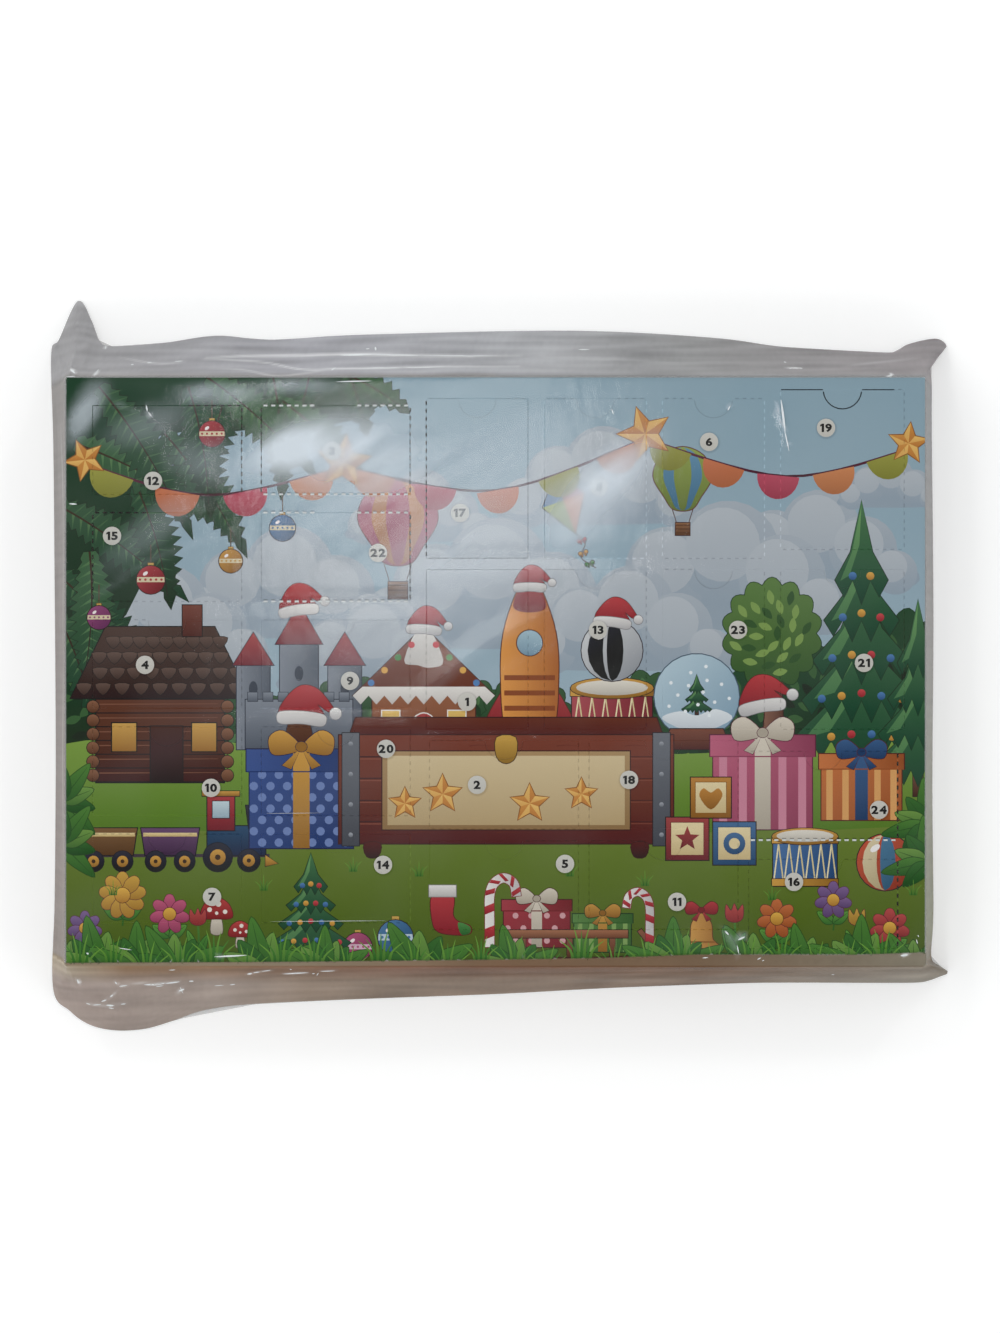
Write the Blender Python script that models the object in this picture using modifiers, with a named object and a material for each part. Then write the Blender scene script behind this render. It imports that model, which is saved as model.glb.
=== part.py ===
"""Toy advent calendar: a flat printed carton with 24 doors, a moulded tray with a small toy behind each
door, and the sealed film bag round it all.

It lies on its back: +Z points out of the doors, and +Y is the top of the picture.
"""

import math
from collections import namedtuple

import bmesh
import bpy
from mathutils import Vector

MM = 0.001

# Carton: its width and height follow from the doors and the margins round them
BOX_DEPTH = 36 * MM
RIGHT_MARGIN = 9 * MM
BOTTOM_MARGIN = 7.7 * MM
BOARD = 0.5 * MM
SEAT_GAP = 0.3 * MM
DUST_FLAP_REACH = 42 * MM

# Doors: each is cut out of the front and creased along its lower edge, with a thumb notch in its upper edge
CUT_GAP = 0.3 * MM
THUMB_RADIUS = 8 * MM
THUMB_STEPS = 8
SMALL_WIDTH = 63 * MM
SMALL_HEIGHT = 37.4 * MM
TALL_WIDTH = 43 * MM
TALL_HEIGHT = 67.6 * MM
WIDE_WIDTH = 52.2 * MM

# Left block of doors, from the carton's upper left corner
LEFT_MARGIN = 11.5 * MM
LEFT_TOP = 12.1 * MM
LEFT_COLUMN_GAP = 8.6 * MM
LEFT_ROW_GAP = 8.1 * MM
LEFT_NUMBERS = ((12, 3), (15, 22), (4, 9), (10, 20), (7, 14))

# Upper right block: three tall columns and a wide one
BLOCK_GAP = 7.1 * MM
TALL_TOP = 9.1 * MM
WIDE_TOP = 5.3 * MM
TALL_COLUMN_GAP = 7.2 * MM
TALL_ROW_GAP = 5 * MM
TALL_NUMBERS = ((17, 8, 6, 19), (1, 13, 23, 21))

# Lower right block: three columns of small doors, the last of them set lower
LOWER_INSET = 1.4 * MM
LOWER_ROW_GAP = 5.3 * MM
LOWER_COLUMN_GAP = 4.8 * MM
LAST_COLUMN_DROP = 4.7 * MM
LAST_ROW_GAP = 8.5 * MM
LOWER_NUMBERS = ((2, 18, 24), (5, 11, 16))

# Tray: one vacuum-formed sheet with a pocket behind each door
TRAY_SHEET = 0.4 * MM
TRAY_MARGIN = 0.8 * MM
TRAY_DRAFT = 1.2 * MM
TRAY_SKIRT = 4 * MM
TRAY_END_PLAY = 1 * MM

# Film bag
FILM = 0.1 * MM
FILM_FIN = 22 * MM
FILM_SIDE = 12 * MM
FILM_SLOPE_SHARES = ((0.72, 0.22), (0.28, 0.62))
FILM_EASE = 0.4 * MM
FILM_FLAT_INSET = 6 * MM

# The bag's sealed edge along each side: (share of the side's length, share of the fin's or side's width)
TOP_FIN_SHARES = (
    (0.1, 0.91), (0.163, 1.05), (0.229, 0.97), (0.341, 1.07), (0.59, 1.15), (0.761, 1.01), (0.846, 0.83),
    (0.95, 0.73),
)
BOTTOM_FIN_SHARES = (
    (0.95, 0.56), (0.812, 0.56), (0.641, 0.66), (0.505, 0.78), (0.341, 0.88), (0.21, 0.99), (0.12, 1.28),
)
LEFT_SIDE_SHARES = ((0.1, 1.0), (0.35, 0.96), (0.65, 1.0), (0.9, 1.05))
RIGHT_SIDE_SHARES = ((0.92, 0.82), (0.6, 0.88), (0.3, 0.84), (0.08, 0.88))

# The ears at its corners, measured outwards from the carton's: (share of the side's, share of the fin's)
UPPER_LEFT_EAR_SHARES = (
    (1.13, 0.67), (0.84, 0.97), (0.14, 1.75), (-0.37, 1.34), (-0.63, 0.96), (-1.11, 0.84),
)
UPPER_RIGHT_EAR_SHARES = ((-0.6, 0.72), (-0.05, 0.88), (0.95, 0.99), (1.35, 0.85), (0.82, 0.67))
LOWER_RIGHT_EAR_SHARES = ((0.8, 0.02), (1.35, 0.34), (0.79, 0.5))
LOWER_LEFT_EAR_SHARES = ((-2.32, 1.48), (-1.22, 1.51), (-0.3, 1.4), (0.44, 1.12), (1.06, 0.66))

# Toys: each fits its pocket with play all round, and its height leaves the finger room above it
TOY_SIDE_PLAY = 4 * MM
TOY_TURNED_DIAMETER = 18 * MM
TOY_CUT_OUT_HEIGHT = 13 * MM
TOY_SEGMENTS = 12
MERGE = 0.01 * MM
CURVE_STEPS = 20

# Turned toys, from one end to the other: (share of the length, share of the largest radius)
TURNED_SHARES = {
    "skittle": (
        (0, 0.6), (0.1, 0.85), (0.32, 1), (0.55, 0.7), (0.7, 0.38), (0.8, 0.5), (0.92, 0.5), (1, 0.2),
    ),
    "spinning_top": ((0, 0.1), (0.2, 0.35), (0.4, 0.95), (0.5, 1), (0.6, 0.9), (0.68, 0.25), (1, 0.2)),
    "rocket": ((0, 0.75), (0.06, 0.5), (0.12, 0.85), (0.4, 1), (0.65, 0.92), (0.85, 0.55), (1, 0.1)),
    "ball": ((0, 0.2), (0.06, 0.48), (0.22, 0.83), (0.5, 1), (0.78, 0.83), (0.94, 0.48), (1, 0.2)),
    "bell": (
        (0, 0.3), (0.05, 1), (0.13, 1), (0.3, 0.8), (0.7, 0.62), (0.84, 0.4), (0.86, 0.16), (1, 0.16),
    ),
    "drum": (
        (0, 0.9), (0.04, 1), (0.16, 1), (0.2, 0.88), (0.8, 0.88), (0.84, 1), (0.96, 1), (1, 0.9),
    ),
    "nesting_doll": (
        (0, 0.72), (0.12, 0.92), (0.35, 1), (0.55, 0.82), (0.63, 0.62), (0.75, 0.72), (0.92, 0.5),
        (1, 0.15),
    ),
    "yo_yo": ((0, 0.8), (0.12, 1), (0.36, 1), (0.46, 0.3), (0.54, 0.3), (0.64, 1), (0.88, 1), (1, 0.8)),
    "rattle": (
        (0, 0.3), (0.06, 0.8), (0.17, 1), (0.28, 0.8), (0.36, 0.3), (0.64, 0.3), (0.72, 0.8), (0.83, 1),
        (1, 0.3),
    ),
    "snowman": (
        (0, 0.4), (0.08, 0.85), (0.25, 1), (0.42, 0.8), (0.5, 0.55), (0.62, 0.75), (0.76, 0.55),
        (0.79, 0.3),
        (1, 0.3),
    ),
    "mushroom": (
        (0, 0.5), (0.08, 0.52), (0.45, 0.4), (0.48, 0.95), (0.6, 1), (0.8, 0.8), (0.94, 0.45), (1, 0.1),
    ),
    "candle": (
        (0, 1), (0.08, 1), (0.1, 0.62), (0.74, 0.6), (0.76, 0.14), (0.82, 0.32), (0.88, 0.34), (1, 0.06),
    ),
}
# Lengths as shares of the pocket's room, for the turned toys that don't fill it
TURNED_LENGTH_SHARES = {
    "ball": 0.32, "bell": 0.55, "drum": 0.5, "yo_yo": 0.3, "mushroom": 0.6, "spinning_top": 0.7,
}

# Cut-out toys: outlines in shares of half the length and half the width
CUT_OUT_SHARES = {
    "train": (
        (-1, -0.7), (1, -0.7), (1, -0.3), (0.85, -0.3), (0.85, 0.3), (0.65, 0.3), (0.65, 0.75),
        (0.45, 0.75),
        (0.45, 0.3), (-0.2, 0.3), (-0.2, 1), (-1, 1),
    ),
    "fish": (
        (-1, -0.75), (-0.62, -0.22), (-0.2, -0.7), (0.3, -0.8), (0.75, -0.5), (1, 0), (0.75, 0.5),
        (0.3, 0.8),
        (-0.2, 0.7), (-0.62, 0.22), (-1, 0.75), (-0.85, 0),
    ),
    "car": (
        (-1, -0.6), (1, -0.6), (1, 0), (0.6, 0.15), (0.3, 0.75), (-0.5, 0.75), (-0.75, 0.15), (-1, 0.05),
    ),
    "tree": (
        (-0.2, -1), (0.2, -1), (0.2, -0.75), (1, -0.75), (0.45, -0.2), (0.8, -0.2), (0.3, 0.35),
        (0.6, 0.35),
        (0, 1), (-0.6, 0.35), (-0.3, 0.35), (-0.8, -0.2), (-0.45, -0.2), (-1, -0.75), (-0.2, -0.75),
    ),
    "boat": (
        (-0.65, -0.9), (0.65, -0.9), (1, -0.25), (0.1, -0.25), (0.1, -0.1), (0.75, -0.1), (0.05, 1),
        (-0.05, 1),
        (-0.05, -0.25), (-1, -0.25),
    ),
    "gift": (
        (-1, -0.9), (1, -0.9), (1, 0.5), (0.2, 0.5), (0.65, 1), (0.25, 1), (0, 0.65), (-0.25, 1),
        (-0.65, 1),
        (-0.2, 0.5), (-1, 0.5),
    ),
    "house": (
        (-0.8, -1), (0.8, -1), (0.8, 0.2), (1, 0.2), (0.6, 0.55), (0.6, 0.95), (0.35, 0.95), (0.35, 0.75),
        (0, 1), (-1, 0.2), (-0.8, 0.2),
    ),
    "castle": (
        (-1, -1), (1, -1), (1, 0.9), (0.6, 0.9), (0.6, 0.3), (0.2, 0.3), (0.2, 0.6), (-0.2, 0.6),
        (-0.2, 0.3),
        (-0.6, 0.3), (-0.6, 0.9), (-1, 0.9),
    ),
    "sleigh": (
        (-0.9, -0.85), (0.8, -0.85), (1, -0.5), (0.9, -0.5), (0.72, -0.65), (0.5, -0.65), (0.75, 0.1),
        (0.1, 0.1),
        (-0.1, -0.1), (-0.5, 0.8), (-1, 0.8), (-0.8, -0.65), (-0.9, -0.65),
    ),
}
STAR_POINTS = 5
STAR_DEPTH_SHARE = 0.45
FLOWER_DEPTH_SHARE = 0.2
MOON_BITE_SHARE = 0.42
TOYS = {
    1: "skittle", 2: "train", 3: "fish", 4: "spinning_top", 5: "car", 6: "rocket", 7: "ball", 8: "tree",
    9: "boat", 10: "bell", 11: "drum", 12: "star", 13: "nesting_doll", 14: "flower", 15: "yo_yo",
    16: "gift", 17: "house", 18: "moon", 19: "castle", 20: "rattle", 21: "snowman", 22: "mushroom",
    23: "candle", 24: "sleigh",
}

Door = namedtuple("Door", "number left top width height")

LEFT_REACH = LEFT_MARGIN + len(LEFT_NUMBERS[0]) * (SMALL_WIDTH + LEFT_COLUMN_GAP) - LEFT_COLUMN_GAP
BLOCK_LEFT = LEFT_REACH + BLOCK_GAP
LOWER_TOP = TALL_TOP + len(TALL_NUMBERS) * (TALL_HEIGHT + TALL_ROW_GAP)
UPPER_REACH = (len(TALL_NUMBERS[0]) - 1) * (TALL_WIDTH + TALL_COLUMN_GAP) + WIDE_WIDTH
LOWER_REACH = LOWER_INSET + len(LOWER_NUMBERS[0]) * (SMALL_WIDTH + LOWER_COLUMN_GAP) - LOWER_COLUMN_GAP
LEFT_DROP = LEFT_TOP + len(LEFT_NUMBERS) * (SMALL_HEIGHT + LEFT_ROW_GAP) - LEFT_ROW_GAP
LAST_TOP = LOWER_TOP + LAST_COLUMN_DROP
RIGHT_DROP = LAST_TOP + len(LOWER_NUMBERS) * (SMALL_HEIGHT + LAST_ROW_GAP) - LAST_ROW_GAP
BOX_WIDTH = BLOCK_LEFT + max(UPPER_REACH, LOWER_REACH) + RIGHT_MARGIN
BOX_HEIGHT = max(LEFT_DROP, RIGHT_DROP) + BOTTOM_MARGIN
FACE_Z = FILM + SEAT_GAP + BOX_DEPTH
BACK_Z = FILM + SEAT_GAP
TRAY_TOP_Z = FACE_Z - BOARD - SEAT_GAP
POCKET_FLOOR_Z = BACK_Z + BOARD + SEAT_GAP + TRAY_SHEET

SKY = (0.30, 0.52, 0.66)
CARD = (0.72, 0.68, 0.60)
TRAY_WHITE = (0.90, 0.90, 0.88)
CLEAR = (0.80, 0.79, 0.78)
TOY_COLOURS = ((0.75, 0.09, 0.08), (0.08, 0.30, 0.68), (0.93, 0.68, 0.07), (0.10, 0.50, 0.18))


def clear_scene():
    for obj in list(bpy.data.objects):
        bpy.data.objects.remove(obj)


def collection(name):
    made = bpy.data.collections.new(name)
    bpy.context.scene.collection.children.link(made)
    return made


def material(name, colour, roughness, metallic=0.0, alpha=1.0):
    made = bpy.data.materials.new(name)
    made.use_nodes = True
    shader = made.node_tree.nodes["Principled BSDF"]
    shader.inputs["Base Color"].default_value = (*colour, 1.0)
    shader.inputs["Roughness"].default_value = roughness
    shader.inputs["Metallic"].default_value = metallic
    shader.inputs["Alpha"].default_value = alpha
    made.diffuse_color = (*colour, alpha)
    return made


def add_object(name, data, look, place=(0, 0, 0)):
    obj = bpy.data.objects.new(name, data)
    obj.location = place
    obj.data.materials.append(look)
    calendar.objects.link(obj)
    return obj


def flat_piece(name, outlines, thickness, look, place):
    """A flat sheet whose lower face is at place's height. Outlines after the first are holes in it."""
    curve = bpy.data.curves.new(name, "CURVE")
    curve.dimensions = "2D"
    curve.fill_mode = "BOTH"
    curve.extrude = thickness / 2
    for outline in outlines:
        spline = curve.splines.new("POLY")
        spline.points.add(len(outline) - 1)
        for point, (x, y) in zip(spline.points, outline):
            point.co = (x, y, 0, 1)
        spline.use_cyclic_u = True
    x, y, z = place
    return add_object(name, curve, look, (x, y, z + thickness / 2))


def box_piece(name, low, high, look):
    """A box between two corners."""
    bm = bmesh.new()
    bmesh.ops.create_cube(bm, size=1)
    size = Vector(high) - Vector(low)
    bmesh.ops.scale(bm, vec=size, verts=bm.verts)
    mesh = bpy.data.meshes.new(name)
    bm.to_mesh(mesh)
    bm.free()
    return add_object(name, mesh, look, (Vector(low) + Vector(high)) / 2)


def add_sheet(name, bm, thickness, look, upper=True):
    """A sheet drawn as its upper side, or its lower one if upper is False, with its thickness behind."""
    bmesh.ops.recalc_face_normals(bm, faces=bm.faces)
    rise = sum(face.normal.z * face.calc_area() for face in bm.faces)
    if (rise > 0) != upper:
        bmesh.ops.reverse_faces(bm, faces=bm.faces)
    mesh = bpy.data.meshes.new(name)
    bm.to_mesh(mesh)
    bm.free()
    obj = add_object(name, mesh, look)
    shell = obj.modifiers.new("thickness", "SOLIDIFY")
    shell.thickness = thickness
    shell.offset = -1
    shell.use_even_offset = True
    return obj


def rectangle(left, bottom, right, top):
    return [(left, bottom), (right, bottom), (right, top), (left, top)]


def doors():
    """The 24 doors, each placed by its upper left corner, measured from the carton's upper left corner."""
    found = []
    for row, numbers in enumerate(LEFT_NUMBERS):
        for column, number in enumerate(numbers):
            left = LEFT_MARGIN + column * (SMALL_WIDTH + LEFT_COLUMN_GAP)
            top = LEFT_TOP + row * (SMALL_HEIGHT + LEFT_ROW_GAP)
            found.append(Door(number, left, top, SMALL_WIDTH, SMALL_HEIGHT))
    for row, numbers in enumerate(TALL_NUMBERS):
        for column, number in enumerate(numbers):
            wide = column == len(numbers) - 1
            left = BLOCK_LEFT + column * (TALL_WIDTH + TALL_COLUMN_GAP)
            top = (WIDE_TOP if wide and row == 0 else TALL_TOP) + row * (TALL_HEIGHT + TALL_ROW_GAP)
            found.append(Door(number, left, top, WIDE_WIDTH if wide else TALL_WIDTH, TALL_HEIGHT))
    for row, numbers in enumerate(LOWER_NUMBERS):
        for column, number in enumerate(numbers):
            last = column == len(numbers) - 1
            left = BLOCK_LEFT + LOWER_INSET + column * (SMALL_WIDTH + LOWER_COLUMN_GAP)
            gap = LAST_ROW_GAP if last else LOWER_ROW_GAP
            top = LOWER_TOP + (LAST_COLUMN_DROP if last else 0) + row * (SMALL_HEIGHT + gap)
            found.append(Door(number, left, top, SMALL_WIDTH, SMALL_HEIGHT))
    return sorted(found)


def door_middle(door):
    """The door's middle in the calendar's own X and Y."""
    x = door.left + door.width / 2 - BOX_WIDTH / 2
    y = BOX_HEIGHT / 2 - door.top - door.height / 2
    return x, y


def thumb_arc(radius, centre_y):
    """A half circle that hangs from (0, centre_y), from left to right."""
    turns = [math.pi * (1 + step / THUMB_STEPS) for step in range(THUMB_STEPS + 1)]
    return [(radius * math.cos(turn), centre_y + radius * math.sin(turn)) for turn in turns]


def door_outline(door, low):
    """The door's edge, with X from its middle and Y from low at its lower edge."""
    half, top = door.width / 2, low + door.height
    return [(-half, top), *thumb_arc(THUMB_RADIUS, top), (half, top), (half, low), (-half, low)]


def window_outline(door):
    """The hole that the door closes, with the half-round tongue that fills its thumb notch."""
    x, y = door_middle(door)
    half = door.width / 2 + CUT_GAP
    notch_y = y + door.height / 2
    top, low = notch_y + CUT_GAP, y - door.height / 2 - CUT_GAP
    tongue = thumb_arc(THUMB_RADIUS - CUT_GAP, notch_y)
    tongue = [(tongue[0][0], top), *tongue, (tongue[-1][0], top)]
    ring = [(-half, top), *tongue, (half, top), (half, low), (-half, low)]
    return [(x + across, up) for across, up in ring]


def make_doors(look):
    """Each door hangs from an empty on its crease: the joint's axis, along X at the front's surface."""
    for door in doors():
        x, y = door_middle(door)
        crease_y = y - door.height / 2 - CUT_GAP / 2
        outline = door_outline(door, CUT_GAP / 2)
        leaf = flat_piece(f"door_{door.number:02d}", [outline], BOARD, look, (0, 0, -BOARD))
        hinge = bpy.data.objects.new(f"hinge_{door.number:02d}", None)
        hinge.location = (x, crease_y, FACE_Z)
        calendar.objects.link(hinge)
        leaf.parent = hinge


def make_front(look):
    half_x, half_y = BOX_WIDTH / 2, BOX_HEIGHT / 2
    edge = rectangle(-half_x, -half_y, half_x, half_y)
    windows = [window_outline(door) for door in doors()]
    flat_piece("front_panel", [edge, *windows], BOARD, look, (0, 0, FACE_Z - BOARD))


def make_tub(look):
    """The back and the two long walls are one folded board, under the front."""
    half_x, half_y = BOX_WIDTH / 2, BOX_HEIGHT / 2
    wall_top = FACE_Z - BOARD - SEAT_GAP
    bm = bmesh.new()
    profile = [(half_y, wall_top), (half_y, BACK_Z), (-half_y, BACK_Z), (-half_y, wall_top)]
    near = [bm.verts.new((-half_x, y, z)) for y, z in profile]
    far = [bm.verts.new((half_x, y, z)) for y, z in profile]
    for n in range(len(profile) - 1):
        bm.faces.new((near[n], near[n + 1], far[n + 1], far[n]))
    add_sheet("carton_tub", bm, BOARD, look, upper=False)


def make_ends(look, inner_look):
    """At each short end two dust flaps fold in from the long walls, and the end flap closes over them."""
    low_z, high_z = BACK_Z + BOARD + SEAT_GAP, FACE_Z - BOARD - SEAT_GAP
    inside_y = BOX_HEIGHT / 2 - BOARD - SEAT_GAP
    for side, turn in (("left", -1), ("right", 1)):
        outer = turn * BOX_WIDTH / 2
        inner = outer - turn * BOARD
        low, high = (min(outer, inner), -inside_y, low_z), (max(outer, inner), inside_y, high_z)
        box_piece(f"{side}_end_flap", low, high, look)
        outer = inner - turn * SEAT_GAP
        inner = outer - turn * BOARD
        for place, up in (("upper", 1), ("lower", -1)):
            ends = sorted((up * inside_y, up * (inside_y - DUST_FLAP_REACH)))
            low, high = (min(outer, inner), ends[0], low_z), (max(outer, inner), ends[1], high_z)
            box_piece(f"{side}_{place}_dust_flap", low, high, inner_look)


def pocket_corners(door, inset):
    x, y = door_middle(door)
    half_x = door.width / 2 + CUT_GAP + TRAY_MARGIN - inset
    half_y = door.height / 2 + CUT_GAP + TRAY_MARGIN - inset
    return rectangle(x - half_x, y - half_y, x + half_x, y + half_y)


def ring_of(bm, points, z):
    return [bm.verts.new((x, y, z)) for x, y in points]


def join_rings(bm, upper, lower):
    """Quads between two rings that run the same way."""
    for n in range(len(upper)):
        m = (n + 1) % len(upper)
        bm.faces.new((upper[n], upper[m], lower[m], lower[n]))


def make_tray(look):
    """Drawn as its upper surface, which the sheet's thickness lies under."""
    half_x = BOX_WIDTH / 2 - 2 * (BOARD + SEAT_GAP) - TRAY_END_PLAY
    half_y = BOX_HEIGHT / 2 - BOARD - SEAT_GAP
    bm = bmesh.new()
    rim = ring_of(bm, rectangle(-half_x, -half_y, half_x, half_y), TRAY_TOP_Z)
    skirt = ring_of(bm, rectangle(-half_x, -half_y, half_x, half_y), TRAY_TOP_Z - TRAY_SKIRT)
    join_rings(bm, rim, skirt)
    mouths = []
    for door in doors():
        mouth = ring_of(bm, pocket_corners(door, 0), TRAY_TOP_Z)
        floor = ring_of(bm, pocket_corners(door, TRAY_DRAFT), POCKET_FLOOR_Z)
        join_rings(bm, floor, mouth)
        bm.faces.new(floor)
        mouths.append(mouth)
    edges = [bm.edges.get((ring[n - 1], ring[n])) for ring in (rim, *mouths) for n in range(len(ring))]
    bmesh.ops.triangle_fill(bm, use_beauty=True, edges=edges, normal=(0, 0, 1))
    add_sheet("toy_tray", bm, TRAY_SHEET, look)


def seam_points():
    """The bag's sealed edge, clockwise from the upper left corner, as points in X and Y."""
    half_x, half_y = BOX_WIDTH / 2, BOX_HEIGHT / 2

    def corner(shares, across, up):
        return [(across * (half_x + a * FILM_SIDE), up * (half_y + b * FILM_FIN)) for a, b in shares]

    top = [(-half_x + a * BOX_WIDTH, half_y + b * FILM_FIN) for a, b in TOP_FIN_SHARES]
    right = [(half_x + b * FILM_SIDE, -half_y + a * BOX_HEIGHT) for a, b in RIGHT_SIDE_SHARES]
    bottom = [(-half_x + a * BOX_WIDTH, -half_y - b * FILM_FIN) for a, b in BOTTOM_FIN_SHARES]
    left = [(-half_x - b * FILM_SIDE, -half_y + a * BOX_HEIGHT) for a, b in LEFT_SIDE_SHARES]
    return [
        *corner(UPPER_LEFT_EAR_SHARES, -1, 1), *top, *corner(UPPER_RIGHT_EAR_SHARES, 1, 1), *right,
        *corner(LOWER_RIGHT_EAR_SHARES, 1, -1), *bottom, *corner(LOWER_LEFT_EAR_SHARES, -1, -1), *left,
    ]


def edge_point(x, y, stand_off):
    """The point nearest to (x, y) on the carton's outline, with that outline set out by stand_off."""
    reach_x, reach_y = BOX_WIDTH / 2 + stand_off, BOX_HEIGHT / 2 + stand_off
    return max(-reach_x, min(reach_x, x)), max(-reach_y, min(reach_y, y))


def slope_ring(seam, share):
    """The seam's points drawn in to the carton's edge, which share 0 reaches."""
    ring = []
    for x, y in seam:
        edge_x, edge_y = edge_point(x, y, FILM_EASE)
        ring.append((edge_x + (x - edge_x) * share, edge_y + (y - edge_y) * share))
    return ring


def make_film_front(look):
    """Drawn as its upper side: a sealed edge, a slope up the carton's side and a flat over the doors."""
    seam = seam_points()
    seam_z, flat_z = FILM + SEAT_GAP + FILM, FACE_Z + SEAT_GAP + FILM
    bm = bmesh.new()
    rings = [ring_of(bm, seam, seam_z)]
    for out, up in FILM_SLOPE_SHARES:
        rings.append(ring_of(bm, slope_ring(seam, out), seam_z + (flat_z - seam_z) * up))
    rings.append(ring_of(bm, slope_ring(seam, 0), flat_z))
    rings.append(ring_of(bm, [edge_point(x, y, -FILM_FLAT_INSET) for x, y in seam], flat_z))
    for lower, upper in zip(rings, rings[1:]):
        join_rings(bm, upper, lower)
    bm.faces.new(rings[-1])
    bmesh.ops.remove_doubles(bm, verts=bm.verts, dist=FILM / 10)
    add_sheet("film_front", bm, FILM, look)


def make_film_back(look):
    flat_piece("film_back", [seam_points()], FILM, look, (0, 0, 0))


def toy_room(door):
    """Length and width that a toy may take up in its pocket, and whether the length runs along Y."""
    across = door.width - 2 * TOY_SIDE_PLAY
    along = door.height - 2 * TOY_SIDE_PLAY
    return max(across, along), min(across, along), along > across


def turned_toy(name, profile, length, upright, place, look):
    """A solid of revolution on its side. Its first end points to -Y if upright, and to +X if not."""
    radius = TOY_TURNED_DIAMETER / 2
    points = [(radius * out, 0, length * (1 / 2 - along)) for along, out in profile]
    points = [(0, 0, length / 2), *points, (0, 0, -length / 2)]
    mesh = bpy.data.meshes.new(name)
    mesh.from_pydata(points, [(n, n + 1) for n in range(len(points) - 1)], [])
    x, y = place
    toy = add_object(name, mesh, look, (x, y, POCKET_FLOOR_Z + SEAT_GAP + radius))
    toy.rotation_euler = (math.pi / 2, 0, 0) if upright else (0, math.pi / 2, 0)
    screw = toy.modifiers.new("turn", "SCREW")
    screw.steps = screw.render_steps = TOY_SEGMENTS
    screw.use_merge_vertices = True
    screw.merge_threshold = MERGE


def rayed_outline(points, depth, steps):
    """A closed outline whose radius swings between 1 and 1 - depth, points times round."""
    ring = []
    for n in range(steps):
        turn = 2 * math.pi * n / steps
        radius = 1 - depth * (1 - math.cos(points * turn)) / 2
        ring.append((radius * math.sin(turn), radius * math.cos(turn)))
    return ring


def moon_outline():
    half = CURVE_STEPS // 2
    outer, inner = [], []
    for n in range(half + 1):
        turn = math.pi * n / half
        outer.append((math.cos(turn), math.sin(turn)))
        inner.append((math.cos(turn), MOON_BITE_SHARE * math.sin(turn)))
    return [(x, y - MOON_BITE_SHARE) for x, y in [*outer, *inner[-2:0:-1]]]


def cut_out_toy(name, outline, size, place, look):
    ring = [(size[0] / 2 * x, size[1] / 2 * y) for x, y in outline]
    x, y = place
    flat_piece(name, [ring], TOY_CUT_OUT_HEIGHT, look, (x, y, POCKET_FLOOR_Z + SEAT_GAP))


def make_toys(looks):
    """A toy's length follows its pocket's long side, and an upright toy has its base towards -Y."""
    outlines = dict(CUT_OUT_SHARES)
    outlines["star"] = rayed_outline(STAR_POINTS, STAR_DEPTH_SHARE, 2 * STAR_POINTS)
    outlines["flower"] = rayed_outline(STAR_POINTS, FLOWER_DEPTH_SHARE, 2 * CURVE_STEPS)
    outlines["moon"] = moon_outline()
    for door in doors():
        shape = TOYS[door.number]
        name = f"toy_{door.number:02d}_{shape}"
        look = looks[door.number % len(looks)]
        place = door_middle(door)
        length, width, upright = toy_room(door)
        if shape in TURNED_SHARES:
            length *= TURNED_LENGTH_SHARES.get(shape, 1)
            turned_toy(name, TURNED_SHARES[shape], length, upright, place, look)
            continue
        size = (width, length) if upright else (length, width)
        if shape in ("star", "flower"):
            size = (width, width)
        cut_out_toy(name, outlines[shape], size, place, look)


def main():
    printed = material("printed_board", SKY, 0.5)
    card = material("grey_board", CARD, 0.85)
    plastic = material("tray_plastic", TRAY_WHITE, 0.35)
    film = material("clear_film", CLEAR, 0.12, alpha=0.35)
    looks = [material(f"toy_plastic_{n}", colour, 0.4) for n, colour in enumerate(TOY_COLOURS)]
    make_tub(printed)
    make_front(printed)
    make_ends(printed, card)
    make_doors(printed)
    make_tray(plastic)
    make_toys(looks)
    make_film_back(film)
    make_film_front(film)


clear_scene()
calendar = collection("toy_advent_calendar")
main()
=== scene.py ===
"""Looks for a toy advent calendar in its clear film bag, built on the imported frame."""

import math
from collections import defaultdict, namedtuple

import bmesh
import bpy
import numpy as np
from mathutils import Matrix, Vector, noise
from mathutils.geometry import delaunay_2d_cdt
from mathutils.bvhtree import BVHTree
from mathutils.kdtree import KDTree


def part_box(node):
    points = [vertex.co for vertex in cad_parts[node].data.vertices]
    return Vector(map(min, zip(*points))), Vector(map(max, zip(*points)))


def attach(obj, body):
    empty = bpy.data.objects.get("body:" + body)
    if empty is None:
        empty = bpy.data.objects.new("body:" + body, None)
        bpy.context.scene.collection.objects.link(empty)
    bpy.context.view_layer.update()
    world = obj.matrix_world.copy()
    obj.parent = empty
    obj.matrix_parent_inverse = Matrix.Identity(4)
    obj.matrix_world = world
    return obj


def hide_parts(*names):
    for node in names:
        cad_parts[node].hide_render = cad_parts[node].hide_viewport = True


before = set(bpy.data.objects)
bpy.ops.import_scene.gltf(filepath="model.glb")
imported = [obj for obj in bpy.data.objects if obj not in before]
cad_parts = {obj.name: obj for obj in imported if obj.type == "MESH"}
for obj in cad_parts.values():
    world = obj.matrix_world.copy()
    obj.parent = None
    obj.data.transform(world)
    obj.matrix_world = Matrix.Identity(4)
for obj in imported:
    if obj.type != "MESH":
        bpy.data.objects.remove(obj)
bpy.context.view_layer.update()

MM = 0.001
FRONT_LOW, FRONT_TOP = (Vector(corner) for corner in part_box("front_panel"))
FRONT_WIDE = (FRONT_TOP.x - FRONT_LOW.x) / MM
FRONT_HIGH = (FRONT_TOP.y - FRONT_LOW.y) / MM
FACE_Z = FRONT_TOP.z
PIXEL = 0.4249
CORNER_PIXEL = (66, 965)
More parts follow.
